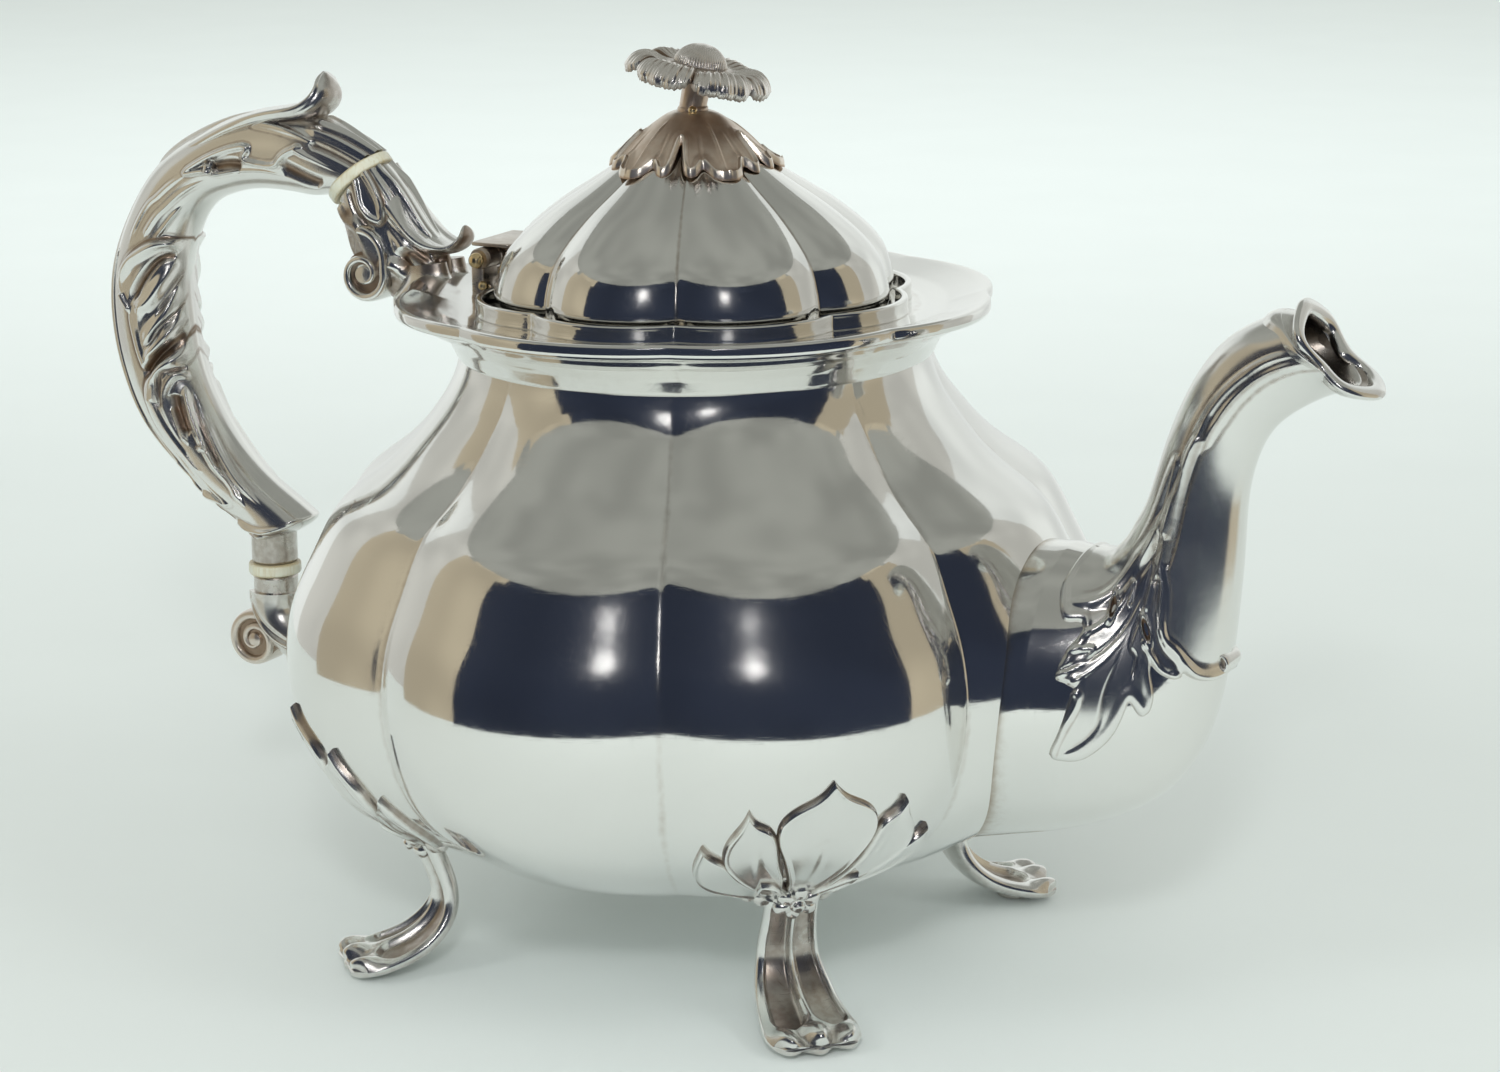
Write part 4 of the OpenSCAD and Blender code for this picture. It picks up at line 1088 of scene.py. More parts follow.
HANDLE_RIDGES = [                  # path, width, height, both ends' taper, any stain
    ([(0.34, 26), (0.318, 18), (0.281, 14), (0.226, 18), (0.168, 42), (0.123, 54), (0.05, 60)],
     1.2, 0.75, (0.2, 0.1)),
    ([(0.0, 84), (0.05, 82), (0.09, 74), (0.115, 92), (0.148, 107), (0.183, 100), (0.231, 80),
      (0.262, 82), (0.272, 97), (0.255, 109), (0.22, 114), (0.18, 116), (0.1, 124)],
     1.0, 0.85, (0.05, 0.2)),
    ([(0.25, 98), (0.22, 102), (0.195, 110)], 2.2, -1.1, (0.05, 0.2), 1.0),
    ([(0.12, 105), (0.08, 112), (0.02, 120)], 2.4, -1.0, (0.15, 0.1), 0.9),
    ([(0.075, 62), (0.03, 58), (-0.02, 56)], 1.3, -0.7, (0.2, 0), 0.6),
    ([(0.09, 44), (0.05, 38), (-0.02, 30)], 1.4, 0.7, (0.2, 0)),
    ([(0.08, 36), (0.04, 26), (-0.02, 18)], 1.1, -0.7, (0.2, 0), 0.6),
    ([(0.09, 20), (0.05, 12), (-0.02, 4)], 1.3, 0.6, (0.2, 0)),
    ([(0.26, 116), (0.33, 112), (0.4, 100), (0.446, 92)], 1.0, 0.35, (0.2, 0.1)),
    ([(0.28, 92), (0.34, 88), (0.41, 74), (0.462, 70)], 0.9, 0.3, (0.2, 0.1)),
    ([(0.36, 128), (0.41, 120), (0.44, 112)], 0.8, 0.4, (0.3, 0)),
    ([(0.461, 158), (0.451, 118), (0.476, 90), (0.502, 75), (0.535, 68)], 2.0, 0.8,
     (0.05, 0.1)),
    ([(0.474, 150), (0.481, 124), (0.511, 105), (0.555, 85)], 1.4, -1.0, (0.1, 0.15), 0.9),
    ([(0.479, 160), (0.516, 130), (0.554, 105), (0.586, 94), (0.614, 91)], 2.3, 1.0,
     (0.15, 0.2)),
    ([(0.504, 168), (0.541, 141), (0.579, 117)], 0.7, -0.5, (0.15, 0.2), 0.5),
    ([(0.526, 165), (0.564, 137), (0.596, 112), (0.62, 96)], 2.0, 0.8, (0.15, 0.2)),
    ([(0.554, 168), (0.579, 138), (0.601, 116), (0.627, 100)], 0.9, -0.7, (0.1, 0.2), 0.6),
    ([(0.574, 165), (0.599, 137), (0.622, 112), (0.64, 93)], 1.4, 0.8, (0.1, 0.2)),
    ([(0.607, 162), (0.624, 131), (0.645, 106), (0.675, 84)], 1.6, -1.2, (0.1, 0.15), 1.0),
    ([(0.535, 70), (0.55, 77), (0.568, 86)], 1.1, 0.8, (0.1, 0.3)),
    ([(0.95, 44), (0.8, 40), (0.6, 36), (0.45, 34), (0.3, 33)], 0.8, 0.4, (0.1, 0.2)),
    ([(0.95, 52), (0.8, 47), (0.6, 43), (0.45, 41), (0.3, 41)], 0.8, -0.35, (0.1, 0.2), 0.45),
    ([(0.619, 176), (0.642, 147), (0.655, 117), (0.677, 98), (0.704, 86), (0.736, 83),
      (0.774, 82), (0.807, 90)], 1.9, 0.8, (0.05, 0.15)),
    ([(0.66, 150), (0.663, 122), (0.684, 103), (0.712, 92), (0.745, 88), (0.785, 87)], 0.7, -0.6,
     (0.1, 0.15), 0.7),
    ([(0.679, 150), (0.672, 126), (0.694, 107), (0.719, 99), (0.759, 94), (0.792, 91)], 1.3, 0.7,
     (0.1, 0.15)),
    ([(0.7, 120), (0.729, 114), (0.775, 105)], 1.7, -1.1, (0.08, 0.2), 1.0),
    ([(0.718, 111), (0.752, 105), (0.79, 99)], 0.8, 0.9, (0.15, 0.2)),
    ([(0.688, 136), (0.715, 131), (0.769, 122), (0.82, 114), (0.87, 104)], 1.1, 0.9, (0.1, 0.25)),
    ([(0.7, 144), (0.75, 135), (0.8, 125), (0.85, 115)], 0.8, -0.7, (0.15, 0.2), 0.7),
    ([(0.79, 78), (0.83, 76), (0.88, 54), (0.92, 38), (0.955, 52), (0.985, 86), (1.0, 140)],
     1.4, 0.9, (0.15, 0)),
    ([(0.80, 60), (0.86, 44), (0.932, 26), (0.98, 46), (1.0, 100)], 1.1, 0.6, (0.2, 0)),
    ([(0.81, 68), (0.87, 52), (0.925, 33), (0.968, 54), (0.993, 100)], 0.7, -0.7, (0.2, 0), 0.8),
    ([(0.74, 145), (0.822, 130), (0.895, 118), (0.945, 112)], 1.2, 0.7, (0.2, 0.25)),
    ([(0.80, 116), (0.85, 112), (0.9, 100), (0.93, 92)], 0.9, 0.5, (0.2, 0.3))]


def cut_by_ring(points, side):
    """Trims a tube at the upper insulator's face: side -1 is the handle, 1 the socket."""
    away = (points - RING_MID) @ RING_AXIS
    over = side * np.clip(RING_HALF - side * away, 0, None)
    near = np.linalg.norm(points - RING_MID, axis=-1) < RING_REACH
    return points + (over * near)[..., None] * RING_AXIS


def handle():
    angles = folded_angles(420)
    points, normal = tube(HANDLE_SECTIONS, 620, angles)
    relief = Relief(points, angles)
    for values in HANDLE_PLATES:
        relief.plate(*values)
    for values in HANDLE_RIDGES:
        relief.ridge(*values)
    relief.knob(0.256, 97, 1.2)
    relief.knob(0.8, 112, 0.9)
    panel = smoothstep(0.34, 0.02, relief.u) * smoothstep(70, 30, relief.angle)
    height = relief.height + 0.3 * panel
    inner_edge = smoothstep(162, 124, relief.angle)
    height *= 1 - smoothstep(0.38, 0.43, relief.u) * (1 - inner_edge)
    outside = smoothstep(34, 8, relief.angle) * smoothstep(0.35, 0.45, relief.u)
    height -= outside * np.clip(height, 0, None)
    points = rounded_end(pushed(points, normal, height - CAST_SUNK), relief.rows, 0.018, 0.985)
    shape = Shape().grid(cut_by_ring(points, -1), relief.stain)
    stub = [(0.4, 1.34), (4.4, 1.34), (4.8, 1.6), (4.9, 2.1), (4.85, 8), (5.3, 9.2), (0.4, 9.6)]
    turn_part(shape, stub, LOWER_RING_MID, stain=0.5)
    shape.build("handle_scroll_casting", "pot", "cast_silver", "handle_scroll", sharp=50)


THUMB_SECTIONS = [
    (-117, 157.6, -116, 153, 5.4), (-108, 162.0, -107, 157.5, 6.6),
    (-99, 165.0, -98.6, 160.5, 7.1), (-92.6, 166.2, -92, 161.8, 7.0),
    (-88.4, 167.8, -85.8, 163.2, 6.2), (-86.6, 170.4, -82.8, 167, 4.3),
    (-87, 173.0, -83.8, 171.2, 2.0)]


def curled_leaf(sections, rows, columns, rim, hollow, depth, grow):
    """Grid of a leaf that is hollow between two raised rims, and where the grid lies: u along
    it, and the angle round it. rim is the rims' angle and width; hollow is the angles where the
    hollow starts and is whole."""
    angles = folded_angles(columns)
    points, normal = tube(sections, rows, angles)
    u, size = np.linspace(0, 1, rows)[:, None], np.abs(angles)[None]
    height = 0.5 * bump(size - rim[0], rim[1]) - depth * smoothstep(*hollow, size)
    return pushed(points, normal, height * grow(u)), u, size


def thumb_leaf():
    points, u, size = curled_leaf(THUMB_SECTIONS, 90, 96, (74, 20), (60, 20), 0.7,
                                  lambda u: smoothstep(0.2, 0.6, u))
    stain = 0.5 * smoothstep(100, 140, size) + 0.25 * bump(u - 0.7, 0.2)
    Shape().grid(rounded_end(points, u, 0.07), stain).build(
        "thumb_leaf_curl", "pot", "cast_silver", "thumb_leaf")


def insulator(name, node, middle, axis, long, wide):
    """Ivory washer, slightly wavy and oval like the handle that it parts."""
    profile = rounded([(2.45, -RING_HALF), (long, -RING_HALF), (long, RING_HALF),
                       (2.45, RING_HALF)], 0.75, 6)

    def oval(r, h, a):
        oblong = wide / long + (1 - wide / long) * np.cos(a) ** 2
        wave = 1 + 0.012 * np.cos(3 * a + 0.7) + 0.008 * np.cos(7 * a)
        edge = smoothstep(3, long, r)
        return r * (1 + (oblong * wave - 1) * edge), h + 0.12 * np.cos(2 * a + 0.4) * edge
    shape = turn_part(Shape(), profile, middle, axis, 128, True, flute=oval)
    away = np.vstack(shape.points) - middle
    edge = smoothstep(long - 1.6, long - 0.5, np.linalg.norm(away, axis=1))
    shape.stain = [0.75 * smoothstep(0.75, 1.3, np.abs(away @ unit(np.array(axis)))) * edge]
    shape.build(name, "pot", "ivory", node)


SOCKET_RIDGES = [                  # as in HANDLE_RIDGES
    ([(0.0, 50), (0.2, 47), (0.333, 50), (0.514, 50), (0.7, 42), (0.78, 20)], 1.3, 0.8, (0, 0.1)),
    ([(0.02, 132), (0.2, 118), (0.368, 104), (0.52, 110), (0.6, 122), (0.69, 150)], 1.9, 1.1,
     (0.05, 0.1)),
    ([(0.3, 124), (0.419, 148), (0.5, 160)], 1.8, -0.7, (0.2, 0.2), 0.6),
    ([(0.0, 92), (0.15, 98), (0.3, 92), (0.42, 84)], 0.9, -0.6, (0.1, 0.2), 0.7),
    ([(0.05, 22), (0.3, 20), (0.55, 22), (0.72, 20)], 1.4, 0.5, (0.2, 0.2)),
    ([(0.38, 66), (0.55, 62), (0.68, 64), (0.8, 84), (0.84, 130)], 2.6, 1.3, (0.1, 0.2)),
    ([(0.4, 46), (0.6, 48), (0.75, 58), (0.87, 88)], 2.2, -1.1, (0.1, 0.2), 0.95)]


def upper_socket():
    angles = folded_angles(300)
    points, normal = tube(UPPER_SOCKET_SECTIONS, 240, angles)
    relief = Relief(points, angles)
    relief.plate([(-0.1, 74), (0.05, 80), (0.185, 88), (0.3, 84), (0.39, 72), (0.366, 60),
                  (0.25, 52), (0.145, 49), (-0.1, 50)], 0.8, 0.7, 0.45, 0.1)
    for values in SOCKET_RIDGES:
        relief.ridge(*values)
    under = smoothstep(0.8, 0.86, relief.u) * smoothstep(80, 40, relief.angle)
    relief.darken(0.8 * under)
    relief.darken(0.7 * smoothstep(88, 112, relief.angle) * smoothstep(0.04, 0.15, relief.u))
    height = relief.height - 0.8 * under - CAST_SUNK
    points = cut_by_ring(pushed(points, normal, height), 1)
    shape = Shape().grid(points, relief.stain)
    for side in (-1, 1):
        lobe_foot(shape, side)
    socket_lip(shape)
    shape.build("upper_socket_leafed", "pot", "cast_silver", "upper_socket", sharp=50)


def upper_scroll():
    shape = Shape()
    middle, outer, inner, half_width, band = (-73.6, 132.0), 6.8, 2.2, 7.3, 2.7
    volute(shape, middle, outer, inner, 1.5, 94, -1, half_width, band, lead=3.8)
    volute_core(shape, middle, outer, inner, half_width, band)
    shape.build("upper_scroll_volute", "pot", "cast_silver", "upper_scroll")


SOCKET_LIP = [
    (-66.4, 148.8, -69.4, 144, 6.2), (-62.4, 143.8, -65.4, 139.6, 6.2),
    (-59.2, 140.9, -61.2, 136.8, 5.8), (-56.2, 139.5, -57.2, 136.5, 5.0),
    (-53.9, 139.8, -53.6, 137.4, 4.0), (-52.9, 141.2, -51.9, 139.6, 2.8),
    (-53.2, 142.9, -52.1, 142.3, 1.4)]


def socket_lip(shape):
    """Leaf over the socket's foot, hollow on top, whose tip curls up towards the lid."""
    points, u, size = curled_leaf(SOCKET_LIP, 100, 120, (78, 24), (66, 24), 1.0,
                                  lambda u: smoothstep(0, 0.3, u) * smoothstep(1, 0.8, u))
    shape.grid(rounded_end(points, u, 0.06), 0.7 * smoothstep(96, 130, size))


LOBE_FOOT_SECTIONS = [
    (-55.5, 135.4, -64.5, 134.2, 2.6), (-55, 133.6, -65, 131.6, 2.9),
    (-54.2, 132.2, -66.6, 129, 3.2), (-53, 131.2, -67.8, 127, 3.1),
    (-51.6, 130.7, -67.6, 124.6, 2.7)]
LOBE_FOOT_APART = 3.4


def lobe_foot(shape, side):
    """One lobe of the foot that stands on the rim, under the socket's leaf."""
    points, _ = tube(LOBE_FOOT_SECTIONS, 40, folded_angles(72))
    points[..., 1] += side * LOBE_FOOT_APART
    points[..., 1] *= 1 + 0.12 * smoothstep(134, 130, points[..., 2])
    shape.grid(points, 0.6 * smoothstep(131.5, 134, points[..., 2]))


LOWER_SOCKET_SECTIONS = [
    (-107.3, 61, -97.7, 61, 4.8), (-107, 56.4, -97.6, 57.6, 4.9),
    (-104.4, 50.4, -95.2, 55.2, 5), (-97.6, 46, -91, 53.6, 5.2), (-90, 44.4, -86.4, 53.4, 5.6),
    (-80.6, 43.8, -81.2, 54, 6.2)]


def lower_socket():
    angles = folded_angles(220)
    points, normal = tube(LOWER_SOCKET_SECTIONS, 220, angles)
    relief = Relief(points, angles)
    relief.plate([(-0.1, 20), (0.08, 30), (0.2, 60), (0.42, 78), (0.62, 88), (0.76, 120),
                  (0.8, 190), (-0.1, 190)], 0.7, 0.8, 0.35, 0.1)
    relief.ridge([(0.05, 40), (0.2, 75), (0.42, 96), (0.6, 104)], 1.2, -0.35, (0.1, 0.2), 0.3)
    relief.darken(0.3)
    shape = Shape().grid(pushed(points, normal, relief.height - 0.1), relief.stain)
    stub = [(0.4, -6.5), (4.75, -6.5), (4.7, -2.3), (4.8, -1.9), (4.5, -1.34), (0.4, -1.34)]
    turn_part(shape, stub, LOWER_RING_MID, stain=0.45)
    shape.build("lower_socket_leafed", "pot", "cast_silver", "lower_socket")


def lower_scroll():
    shape = Shape()
    middle, outer, inner, half_width, band = (-106.2, 50.2), 6.9, 1.6, 4.4, 2.4
    volute(shape, middle, outer, inner, 1.75, 40, 1, half_width, band)
    volute_core(shape, middle, outer, inner, half_width, band)
    volute(shape, (-94.6, 49.6), 3.2, 0.8, 1.2, 150, -1, 5.0, 1.3)
    shape.build("lower_scroll_volute", "pot", "tarnished_silver", "lower_scroll")


def spout_scroll():
    shape = Shape()
    x, z = 111.2, 70.8
    volute(shape, (x, z), 2.7, 0.8, 1.4, 200, -1, 3.8, 1.1)
    core = there_and_back([(0.3, -3.2), (1.6, -3.2), (1.8, -2.8)])
    turn_part(shape, core, (x, 0, z), ACROSS, 48, stain=0.7)
    shape.build("spout_scroll_curl", "pot", "cast_silver", "spout_scroll")


# ---------------------------------------------------------------- feet
# Drawn for a foot at angle 0: x is the distance from the pot's axis, y is sideways.

PAD_X = 68
BOSS_TILT, BOSS_PLACE = math.radians(124), (59.0, 0, 27.0)
BUDS = [(5.8, 1.0), (8.4, 0.75)]   # distance to each side of the boss, and size
LEG_ANGLES = {"spout_left": 45, "spout_right": -45, "handle_left": 135, "handle_right": -135}
LEG_SECTIONS = [                   # middle (x, z), half width, half thickness
    (57.6, 26.8, 5.4, 2.4), (55.6, 21.4, 5.4, 2.3), (54.4, 17.4, 5.8, 2.3),
    (54.2, 13.4, 6.3, 2.3), (56.4, 9, 7.4, 2.3), (61, 5.4, 8.3, 2.3), (66.6, 3.5, 9.2, 2.2),
    (71.4, 2.7, 9.4, 2.1), (75.2, 2.5, 8.4, 1.7)]
BELLY_STEP = 0.1                   # sideways and up, to find the way out of the belly


def on_belly(y, z, out):
    """Points at (y, z) on the belly, moved out along its normal."""
    def surface(y, z):
        first = lobe_radius(np.zeros_like(y), body_radius(z), groove_at(z))
        return on_body(y, z, first, 5)
    here = surface(y, z)
    normal = unit(np.cross(surface(y + BELLY_STEP, z) - here, surface(y, z + BELLY_STEP) - here))
    return pushed(here, normal, out)


def leg():
    rows, cols = 240, 180
    s = spline(LEG_SECTIONS, rows)
    v = np.linspace(0, 1, rows)[:, None]
    run = unit(np.gradient(s[:, :2], axis=0))
    none = np.zeros(rows)
    line = np.stack([s[:, 0], none, s[:, 1]], axis=1)[:, None]
    down = np.stack([run[:, 0], none, run[:, 1]], axis=1)[:, None]
    front = np.stack([-run[:, 1], none, run[:, 0]], axis=1)[:, None]
    k = np.radians(around(cols))[None]
    t, c = squared(np.sin(k), 0.85), squared(np.cos(k), 0.8)
    facing_out = smoothstep(-0.1, 0.35, c)
    drift = 0.12 * np.sin(2.2 * v - 0.4)
    flute = 0
    for middle in (0.46, -0.44):
        off = (t - middle - 0.3 * drift) / 0.4
        below = smoothstep(0, 0.05, 0.86 - 0.09 * off ** 2 - v)
        flute = flute + smoothstep(1.0, 0.68, np.abs(off)) * below * smoothstep(0.02, 0.08, v)
    spine = bump(t - drift * 0.3, 0.09 + 0.12 * smoothstep(0.5, 0.85, v))
    toes = np.maximum(np.maximum(bump(t, 0.40), 0.85 * bump(t - 0.72, 0.36)),
                      0.85 * bump(t + 0.72, 0.36))
    at_toe = smoothstep(0.80, 0.92, v)
    high = (-1.35 * flute + 0.45 * spine * smoothstep(0.86, 0.78, v)) * facing_out
    high += 2.1 * (toes - 0.35) * at_toe * facing_out
    reach = 3.0 * (toes - 0.6) * smoothstep(0.88, 1.0, v)
    points = line + front * (s[:, 3:4] * c + high)[..., None] + down * reach[..., None]
    points[..., 1] = s[:, 2:3] * (1 - 0.06 * (1 - toes) * at_toe) * t

    # The toes' ends are drawn in, to a quarter of their height but hardly in width.
    middle = points.mean(axis=1, keepdims=True)
    close = closing(v, 0.07, 0.97)
    round_off = np.sqrt(1 - close ** 2)
    drawn = np.concatenate([round_off, 1 - 0.1 * close, round_off], axis=-1)
    points = middle + (points - middle) * drawn
    points[..., 2] = np.maximum(points[..., 2], 0.0)
    stain = flute * facing_out * 0.6
    stain = np.maximum(stain, 0.5 * at_toe * (1 - toes) * facing_out)
    stain = np.maximum(stain, 0.35 * smoothstep(0.2, -0.2, c))
    shape = Shape().grid(points, stain)
    pad = [(0.3, 2.2), (3.2, 2.2), (3.8, 1.4), (3.7, 0.3), (3.0, 0.0), (0.3, 0.0)]
    return turn_part(shape, pad, (PAD_X, 0, 0), count=64, stain=0.4)


LEAF_PARTS = [   # outline (sideways, height), middle, rise, its tip's place in the list, veined
    ([(0, 56.3), (2.4, 53.6), (6.2, 51.4), (8.8, 48.6), (8.9, 45), (7.2, 41), (5.4, 37),
      (3.6, 33), (2.0, 29.6), (0, 28.4), (-2.0, 29.6), (-3.6, 33), (-5.4, 37), (-7.2, 41),
      (-8.9, 45), (-8.8, 48.6), (-6.2, 51.4), (-2.4, 53.6)], (0, 43), 1.15, 0, True),
    ([(14.9, 50.9), (15.9, 48), (17.4, 44.6), (17.4, 40.6), (15, 37), (11, 33.4), (6, 30),
      (3.4, 29), (4.6, 32), (6.2, 36), (8.2, 40), (9.4, 44), (11.2, 47.4), (13.2, 48.6)],
     (12, 41), 1.4, 0, True),
    ([(21.6, 42.6), (21.8, 38.6), (20.4, 34.6), (17.2, 31.4), (13, 29.4), (8, 28), (3.4, 27.4),
      (6, 29.6), (10.4, 32.6), (14.4, 36), (17.4, 39.2), (19.6, 40.6)],
     (14, 33.6), 1.1, 0, True),
    ([(1.8, 28.4), (4.0, 31.2), (7.0, 33.6), (9.2, 34.2), (9.0, 32.2), (6.4, 29.6),
      (3.6, 27.8)], (5.8, 31.2), 1.9, 3, False)]
LEAF_SHARES = list(np.linspace(0.02, 0.86, 14)) + [0.92, 0.96, 0.985, 1.0]
LEAF_WALL = 0.75
WALL_STEPS = [(0.12, 0.35), (0.5, 1.0), (1.0, 1.0)]     # share of the wall, and its tarnish


def smooth_but_tip(outline, tip, count):
    """Smooth closed outline that starts at its one sharp tip."""
    pts = outline[tip:] + outline[:tip + 1]
    line = spline(pts, count * 4)
    run = np.concatenate([[0], np.cumsum(np.linalg.norm(np.diff(line, axis=0), axis=1))])
    at = np.linspace(0, run[-1], count, endpoint=False)
    return np.stack([np.interp(at, run, line[:, 0]), np.interp(at, run, line[:, 1])], axis=1)


def leaf_part(shape, outline, centre, rise, tip, veined):
    """A leaf that stands proud of the belly. The top is dished, with a rim along its edge, and
    the wall slopes out and down to the belly."""
    line = smooth_but_tip(outline, tip, 200)
    centre = np.array(centre, float)
    away = line - centre
    run = unit(centre - line[0])
    rings, stains = [], []

    def ring(flat, high, stain):
        rings.append(on_belly(flat[:, 0], flat[:, 1], high + np.zeros(len(flat))))
        stains.append(np.full(len(flat), 0.62 * stain))
    for share in LEAF_SHARES:
        flat = centre + away * share
        high = rise - 0.62 * rise * (1 - share ** 2) + 0.3 * bump(share - 0.965, 0.05)
        if veined:
            off = (flat - line[0]) @ [-run[1], run[0]]
            high = high + 0.14 * bump(off, 1.2) * (1 - share)
        ring(flat, high, 0.25 * smoothstep(0.5, 0, share))
    for step, stain in WALL_STEPS:
        ring(line + unit(away) * LEAF_WALL * step, rise - (rise + 0.4) * step ** 1.3, stain)
    shape.grid(np.array(rings), np.array(stains))


def leg_leaf():
    shape = Shape()
    for outline, middle, rise, tip, veined in LEAF_PARTS:
        leaf_part(shape, outline, middle, rise, tip, veined)
        if middle[0]:
            mirrored = [(-y, z) for y, z in outline][::-1]
            leaf_part(shape, mirrored, (-middle[0], middle[1]), rise, len(outline) - 1 - tip,
                      veined)
    return shape


def leg_boss():
    shape = Shape()
    axis = (math.sin(BOSS_TILT), 0, math.cos(BOSS_TILT))
    profile = [(0.3, 3.5), (0.9, 3.4), (1.2, 2.9), (1.4, 2.4), (2.3, 2.7), (3.5, 2.7),
               (4.5, 2.0), (4.7, 1.2), (3.6, -1.5), (0.3, -1.6)]

    def petals(r, h, a):
        lobe = np.abs(np.cos(3 * a + 0.3)) ** 0.7
        grow = smoothstep(1.3, 3.0, r)
        return r * (1 - 0.34 * (1 - lobe) * grow), h - 0.8 * (1 - lobe) * grow
    turn_part(shape, spline(profile, 60), BOSS_PLACE, axis, 120, flute=petals, stain=0.25)
    for side in (-1, 1):
        for away, size in BUDS:
            bud = np.array([(0.2, 2.4), (1.4, 2.0), (2.0, 1.0), (1.5, -1)]) * size
            turn_part(shape, spline(bud, 16), (58.4 - 0.28 * away, side * away, 26.8 + 0.1 * away),
                      axis, 40, stain=0.35)
    return shape


def feet():
    one_leg, one_leaf, one_boss, bosses = leg(), leg_leaf(), leg_boss(), Shape()
    for place, angle in LEG_ANGLES.items():
        one_leg.turned(angle).build(f"leg_{place}_fluted", "pot", "cast_silver", f"leg_{place}",
                                    sharp=55)
        one_leaf.turned(angle).build(f"leaf_{place}_lily", "pot", "cast_silver",
                                     f"leaf_{place}", sharp=55)
        boss = one_boss.turned(angle)
        bosses.add(boss.points, boss.faces, boss.stain)
    bosses.build("leg_bosses_flowers", "pot", "cast_silver", "leg_bosses")


# ---------------------------------------------------------------- making the pieces

for make in (body_shell, rim_flange, collar_ring, lid_dome, hinge_plate, hinge_pin, hinge_leaf,
             calyx, finial_flower, finial_boss, finial_stem, finial_bead, spout, spout_lip,
             spout_scroll, handle, thumb_leaf, upper_socket, upper_scroll, lower_socket,
             lower_scroll):
    make()
insulator("upper_insulator_washer", "upper_insulator", RING_MID, RING_AXIS, 7.6, 7.3)
insulator("lower_insulator_washer", "lower_insulator", LOWER_RING_MID, (0, 0, 1), 5.6, 5.55)
feet()
refinish("polished_silver", "lid_bezel", "strainer", "finial_stud", "finial_washer")
refinish("gilt", "finial_nut")
refinish("cast_silver", "handle_pins")


# ---------------------------------------------------------------- studio and camera

AIM = np.array([0, 0, 91]) * MM
CAMERA_TURN, CAMERA_UP, CAMERA_ROLL = 28.217, 13.311, 0.844
CAMERA_AWAY = 760 * MM
FOCAL_MM, SENSOR_MM = 91.55, 36
SHIFT_X, SHIFT_Y = 0.0344, -0.0252


def toward(turn, up):
    """Unit vector from the pot to a point in that direction: turn 0 is in front, at -Y."""
    a, e = math.radians(turn), math.radians(up)
    return np.array([math.sin(a) * math.cos(e), -math.cos(a) * math.cos(e), math.sin(e)])


def facing(obj, place, back, roll=0.0):
    """Puts obj at a place with its local Z along back, so that it looks the other way."""
    back = unit(back)
    right = unit(np.cross([0, 0, 1], back))
    up = np.cross(back, right)
    c, s = math.cos(math.radians(roll)), math.sin(math.radians(roll))
    matrix = np.eye(4)
    matrix[:3, 0] = c * right - s * up
    matrix[:3, 1] = s * right + c * up
    matrix[:3, 2] = back
    matrix[:3, 3] = place
    obj.matrix_world = Matrix(matrix.tolist())


def camera():
    data = bpy.data.cameras.new("camera")
    data.lens = FOCAL_MM
    data.sensor_width = SENSOR_MM
    data.shift_x, data.shift_y = SHIFT_X, SHIFT_Y
    obj = bpy.data.objects.new("camera", data)
    bpy.context.scene.collection.objects.link(obj)
    back = toward(CAMERA_TURN, CAMERA_UP)
    facing(obj, AIM + back * CAMERA_AWAY, back, CAMERA_ROLL)
    bpy.context.scene.camera = obj


def floor_look(colour):
    look = Look("pale floor")
    shade = tuple(c * 0.97 for c in colour)
    patch = look.noise(size=60, detail=2)
    look.feed(look.shader, {"Base Color": look.blend(patch, colour, shade), "Roughness": 0.9})
    return look.material


def glowing(name, colour, strength=1.0, drift=0.14):
    """Card material that gives off its colour, a little uneven, and reflects nothing."""
    look = Look(name)
    patch = look.ramp(look.noise(size=260, detail=1), 0.3, 0.7)
    bright, dim = (tuple(c * (1 + way * drift) for c in colour) for way in (1, -1))
    light = look.node("Emission", {"Color": look.blend(patch, dim, bright),
                                   "Strength": strength}, 0)
    look.feed(look.nodes["Material Output"], {"Surface": light})
    look.nodes.remove(look.shader)
    return look.material


def card(name, corners, material, seen=False):
    """A flat studio card; unless seen, it shows only in reflections."""
    mesh = bpy.data.meshes.new(name)
    mesh.from_pydata([tuple(c) for c in corners], [], [tuple(range(len(corners)))])
    obj = bpy.data.objects.new(name, mesh)
    bpy.context.scene.collection.objects.link(obj)
    mesh.materials.append(material)
    if not seen:
        obj.visible_camera = False
        obj.visible_diffuse = False
        obj.visible_shadow = False
        obj.visible_transmission = False


def level_card(name, half, height, material, seen=False):
    """A square card that lies level over the pot's axis."""
    corners = [(-half, -half, height), (half, -half, height), (half, half, height),
               (-half, half, height)]
    card(name, corners, material, seen)


def upright(turn_from, turn_to, away, low, high):
    """Twelve strips of a curved wall round the pot, as lists of corners."""
    turns = np.linspace(turn_from, turn_to, 13)
    for a, b in zip(turns[:-1], turns[1:]):
        p, q = toward(a, 0) * away, toward(b, 0) * away
        yield [(p[0], p[1], low), (q[0], q[1], low), (q[0], q[1], high), (p[0], p[1], high)]


def lamp(name, turn, up, away, size, power, colour, glossy=False, at=AIM):
    """Round soft lamp in that direction from the pot, turned to light the point `at`."""
    data = bpy.data.lights.new(name, "AREA")
    data.shape = "DISK"
    data.size = size
    data.energy = power
    data.color = colour
    obj = bpy.data.objects.new(name, data)
    bpy.context.scene.collection.objects.link(obj)
    place = AIM + toward(turn, up) * away
    facing(obj, place, place - at)
    obj.visible_glossy = glossy
    obj.visible_camera = False


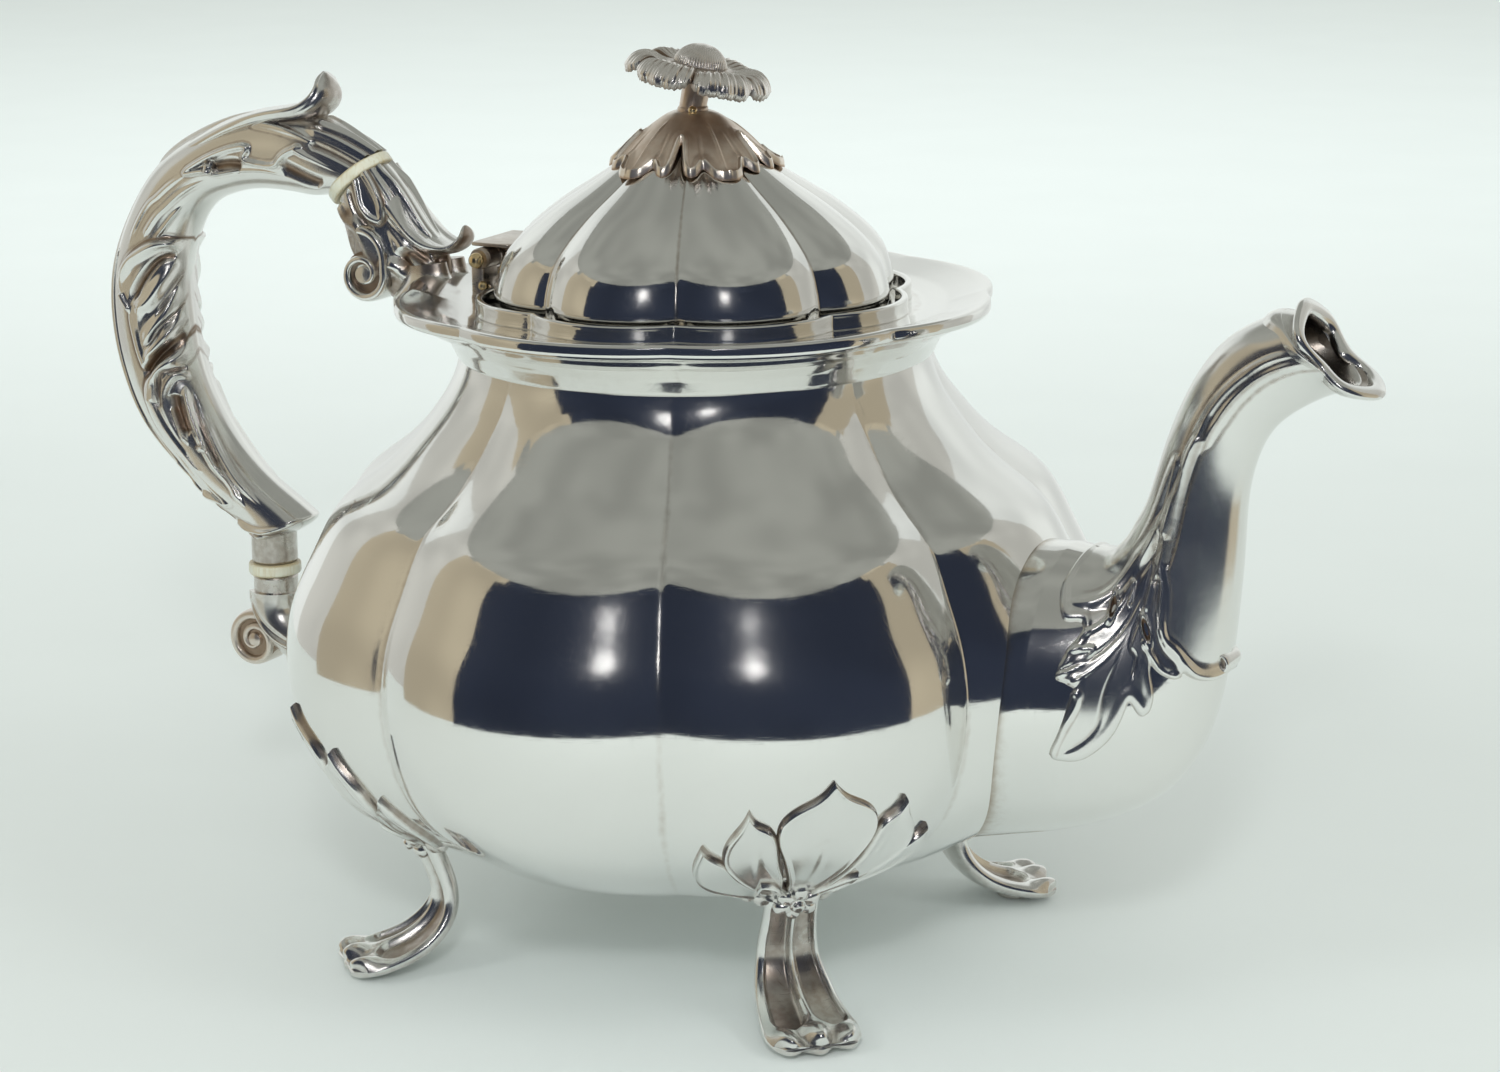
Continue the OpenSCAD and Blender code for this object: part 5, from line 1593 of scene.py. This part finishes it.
def srgb(colour):
    """Linear colour of an 8-bit screen colour."""
    return tuple((v / 255 / 12.92) if v < 10.3 else ((v / 255 + 0.055) / 1.055) ** 2.4
                 for v in colour)


# What the silver mirrors: a colour; then each wall's name, where it starts and ends in degrees
# from +X, its distance, and its lowest and highest point in metres.
WALLS = [
    ("dark card", (44, 50, 64), [("dark", -130, 5, 0.34, 0.0, 0.31),
                                 ("dark_high", -128, 7, 0.64, 0.3, 0.62)]),
    ("beige card", (184, 174, 152), [("beige_left", -165, -130, 0.36, 0.0, 0.36),
                                     ("beige_left_high", -160, -128, 0.64, 0.3, 0.62),
                                     ("beige_right", 5, 27, 0.36, 0.0, 0.36),
                                     ("beige_right_high", 7, 25, 0.64, 0.3, 0.62)]),
    ("pale wall", (198, 198, 192), [("pale_left", -192, -165, 0.5, 0.0, 0.5),
                                    ("pale_right", 27, 58, 0.5, 0.0, 0.5)]),
    ("bright wall", (228, 232, 229), [("bright_left", -235, -192, 0.5, 0.0, 0.5),
                                      ("bright_right", 58, 125, 0.5, 0.0, 0.5)])]
ROOM_COLOUR, ROOM_GLOW = (214, 214, 207), 0.84
FLOOR_COLOUR, CEILING_COLOUR = (237, 246, 246), (152, 154, 148)
TURN_OF_X = 90                     # the turn, as toward() counts it, of the +X direction
BEHIND = CAMERA_TURN + 180
KEY_TURN, KEY_UP = CAMERA_TURN - 2, 28
KEY_AWAY, BULB_AWAY, BULB_R = 0.95, 0.9, 0.022
FLOOR_HALF, CEILING_HALF, CEILING_H = 3.0, 1, 0.62
# Lamps that don't show in the silver: name, turn, angle up, distance, size, watts, colour.
SOFT_LAMPS = [
    ("front_fill", CAMERA_TURN, 26, 1.7, 0.9, 6, (1.0, 1.0, 1.0)),
    ("overhead", CAMERA_TURN, 80, 1.9, 1.2, 0.8, (1.0, 1.0, 1.0)),
    ("left_soft", CAMERA_TURN - 58, 36, 1.6, 0.5, 2, (1.0, 1.0, 0.99)),
    ("right_soft", CAMERA_TURN + 52, 40, 1.6, 0.5, 2, (1.0, 1.0, 0.99))]


def studio():
    world = bpy.data.worlds.new("room")
    bpy.context.scene.world = world
    world.use_nodes = True
    room = world.node_tree.nodes["Background"]
    room.inputs["Color"].default_value = (*srgb(ROOM_COLOUR), 1)
    room.inputs["Strength"].default_value = ROOM_GLOW
    level_card("floor", FLOOR_HALF, 0, floor_look(srgb(FLOOR_COLOUR)), seen=True)
    for colour_name, colour, walls in WALLS:
        material = glowing(colour_name, srgb(colour))
        for name, start, end, away, low, high in walls:
            strips = upright(start + TURN_OF_X, end + TURN_OF_X, away, low, high)
            for i, corners in enumerate(strips):
                card(f"wall_{name}_{i}", corners, material)
    ceiling = glowing("grey ceiling", srgb(CEILING_COLOUR))
    level_card("ceiling", CEILING_HALF, CEILING_H, ceiling)
    lamp("key", KEY_TURN, KEY_UP, KEY_AWAY, 0.10, 1.6, (1.0, 0.99, 0.97), glossy=True)
    lamp("backdrop", BEHIND, 54, 1.4, 1.2, 11, (0.97, 0.99, 1.0), at=toward(BEHIND, 0) * 2.8)
    for values in SOFT_LAMPS:
        lamp(*values)
    # The key lamp's mirror image is a round glowing card just in front of it.
    middle = AIM + toward(KEY_TURN, KEY_UP) * BULB_AWAY
    across, tall = toward(KEY_TURN + 90, 0), toward(KEY_TURN, KEY_UP - 90)
    spokes = np.radians(around(12))
    card("bulb", [middle + BULB_R * (across * math.cos(a) + tall * math.sin(a)) for a in spokes],
         glowing("bulb", (0.98, 0.98, 0.98), 90, 0.02))
    view = bpy.context.scene.view_settings
    view.view_transform = "Standard"
    view.look = "None"


camera()
studio()
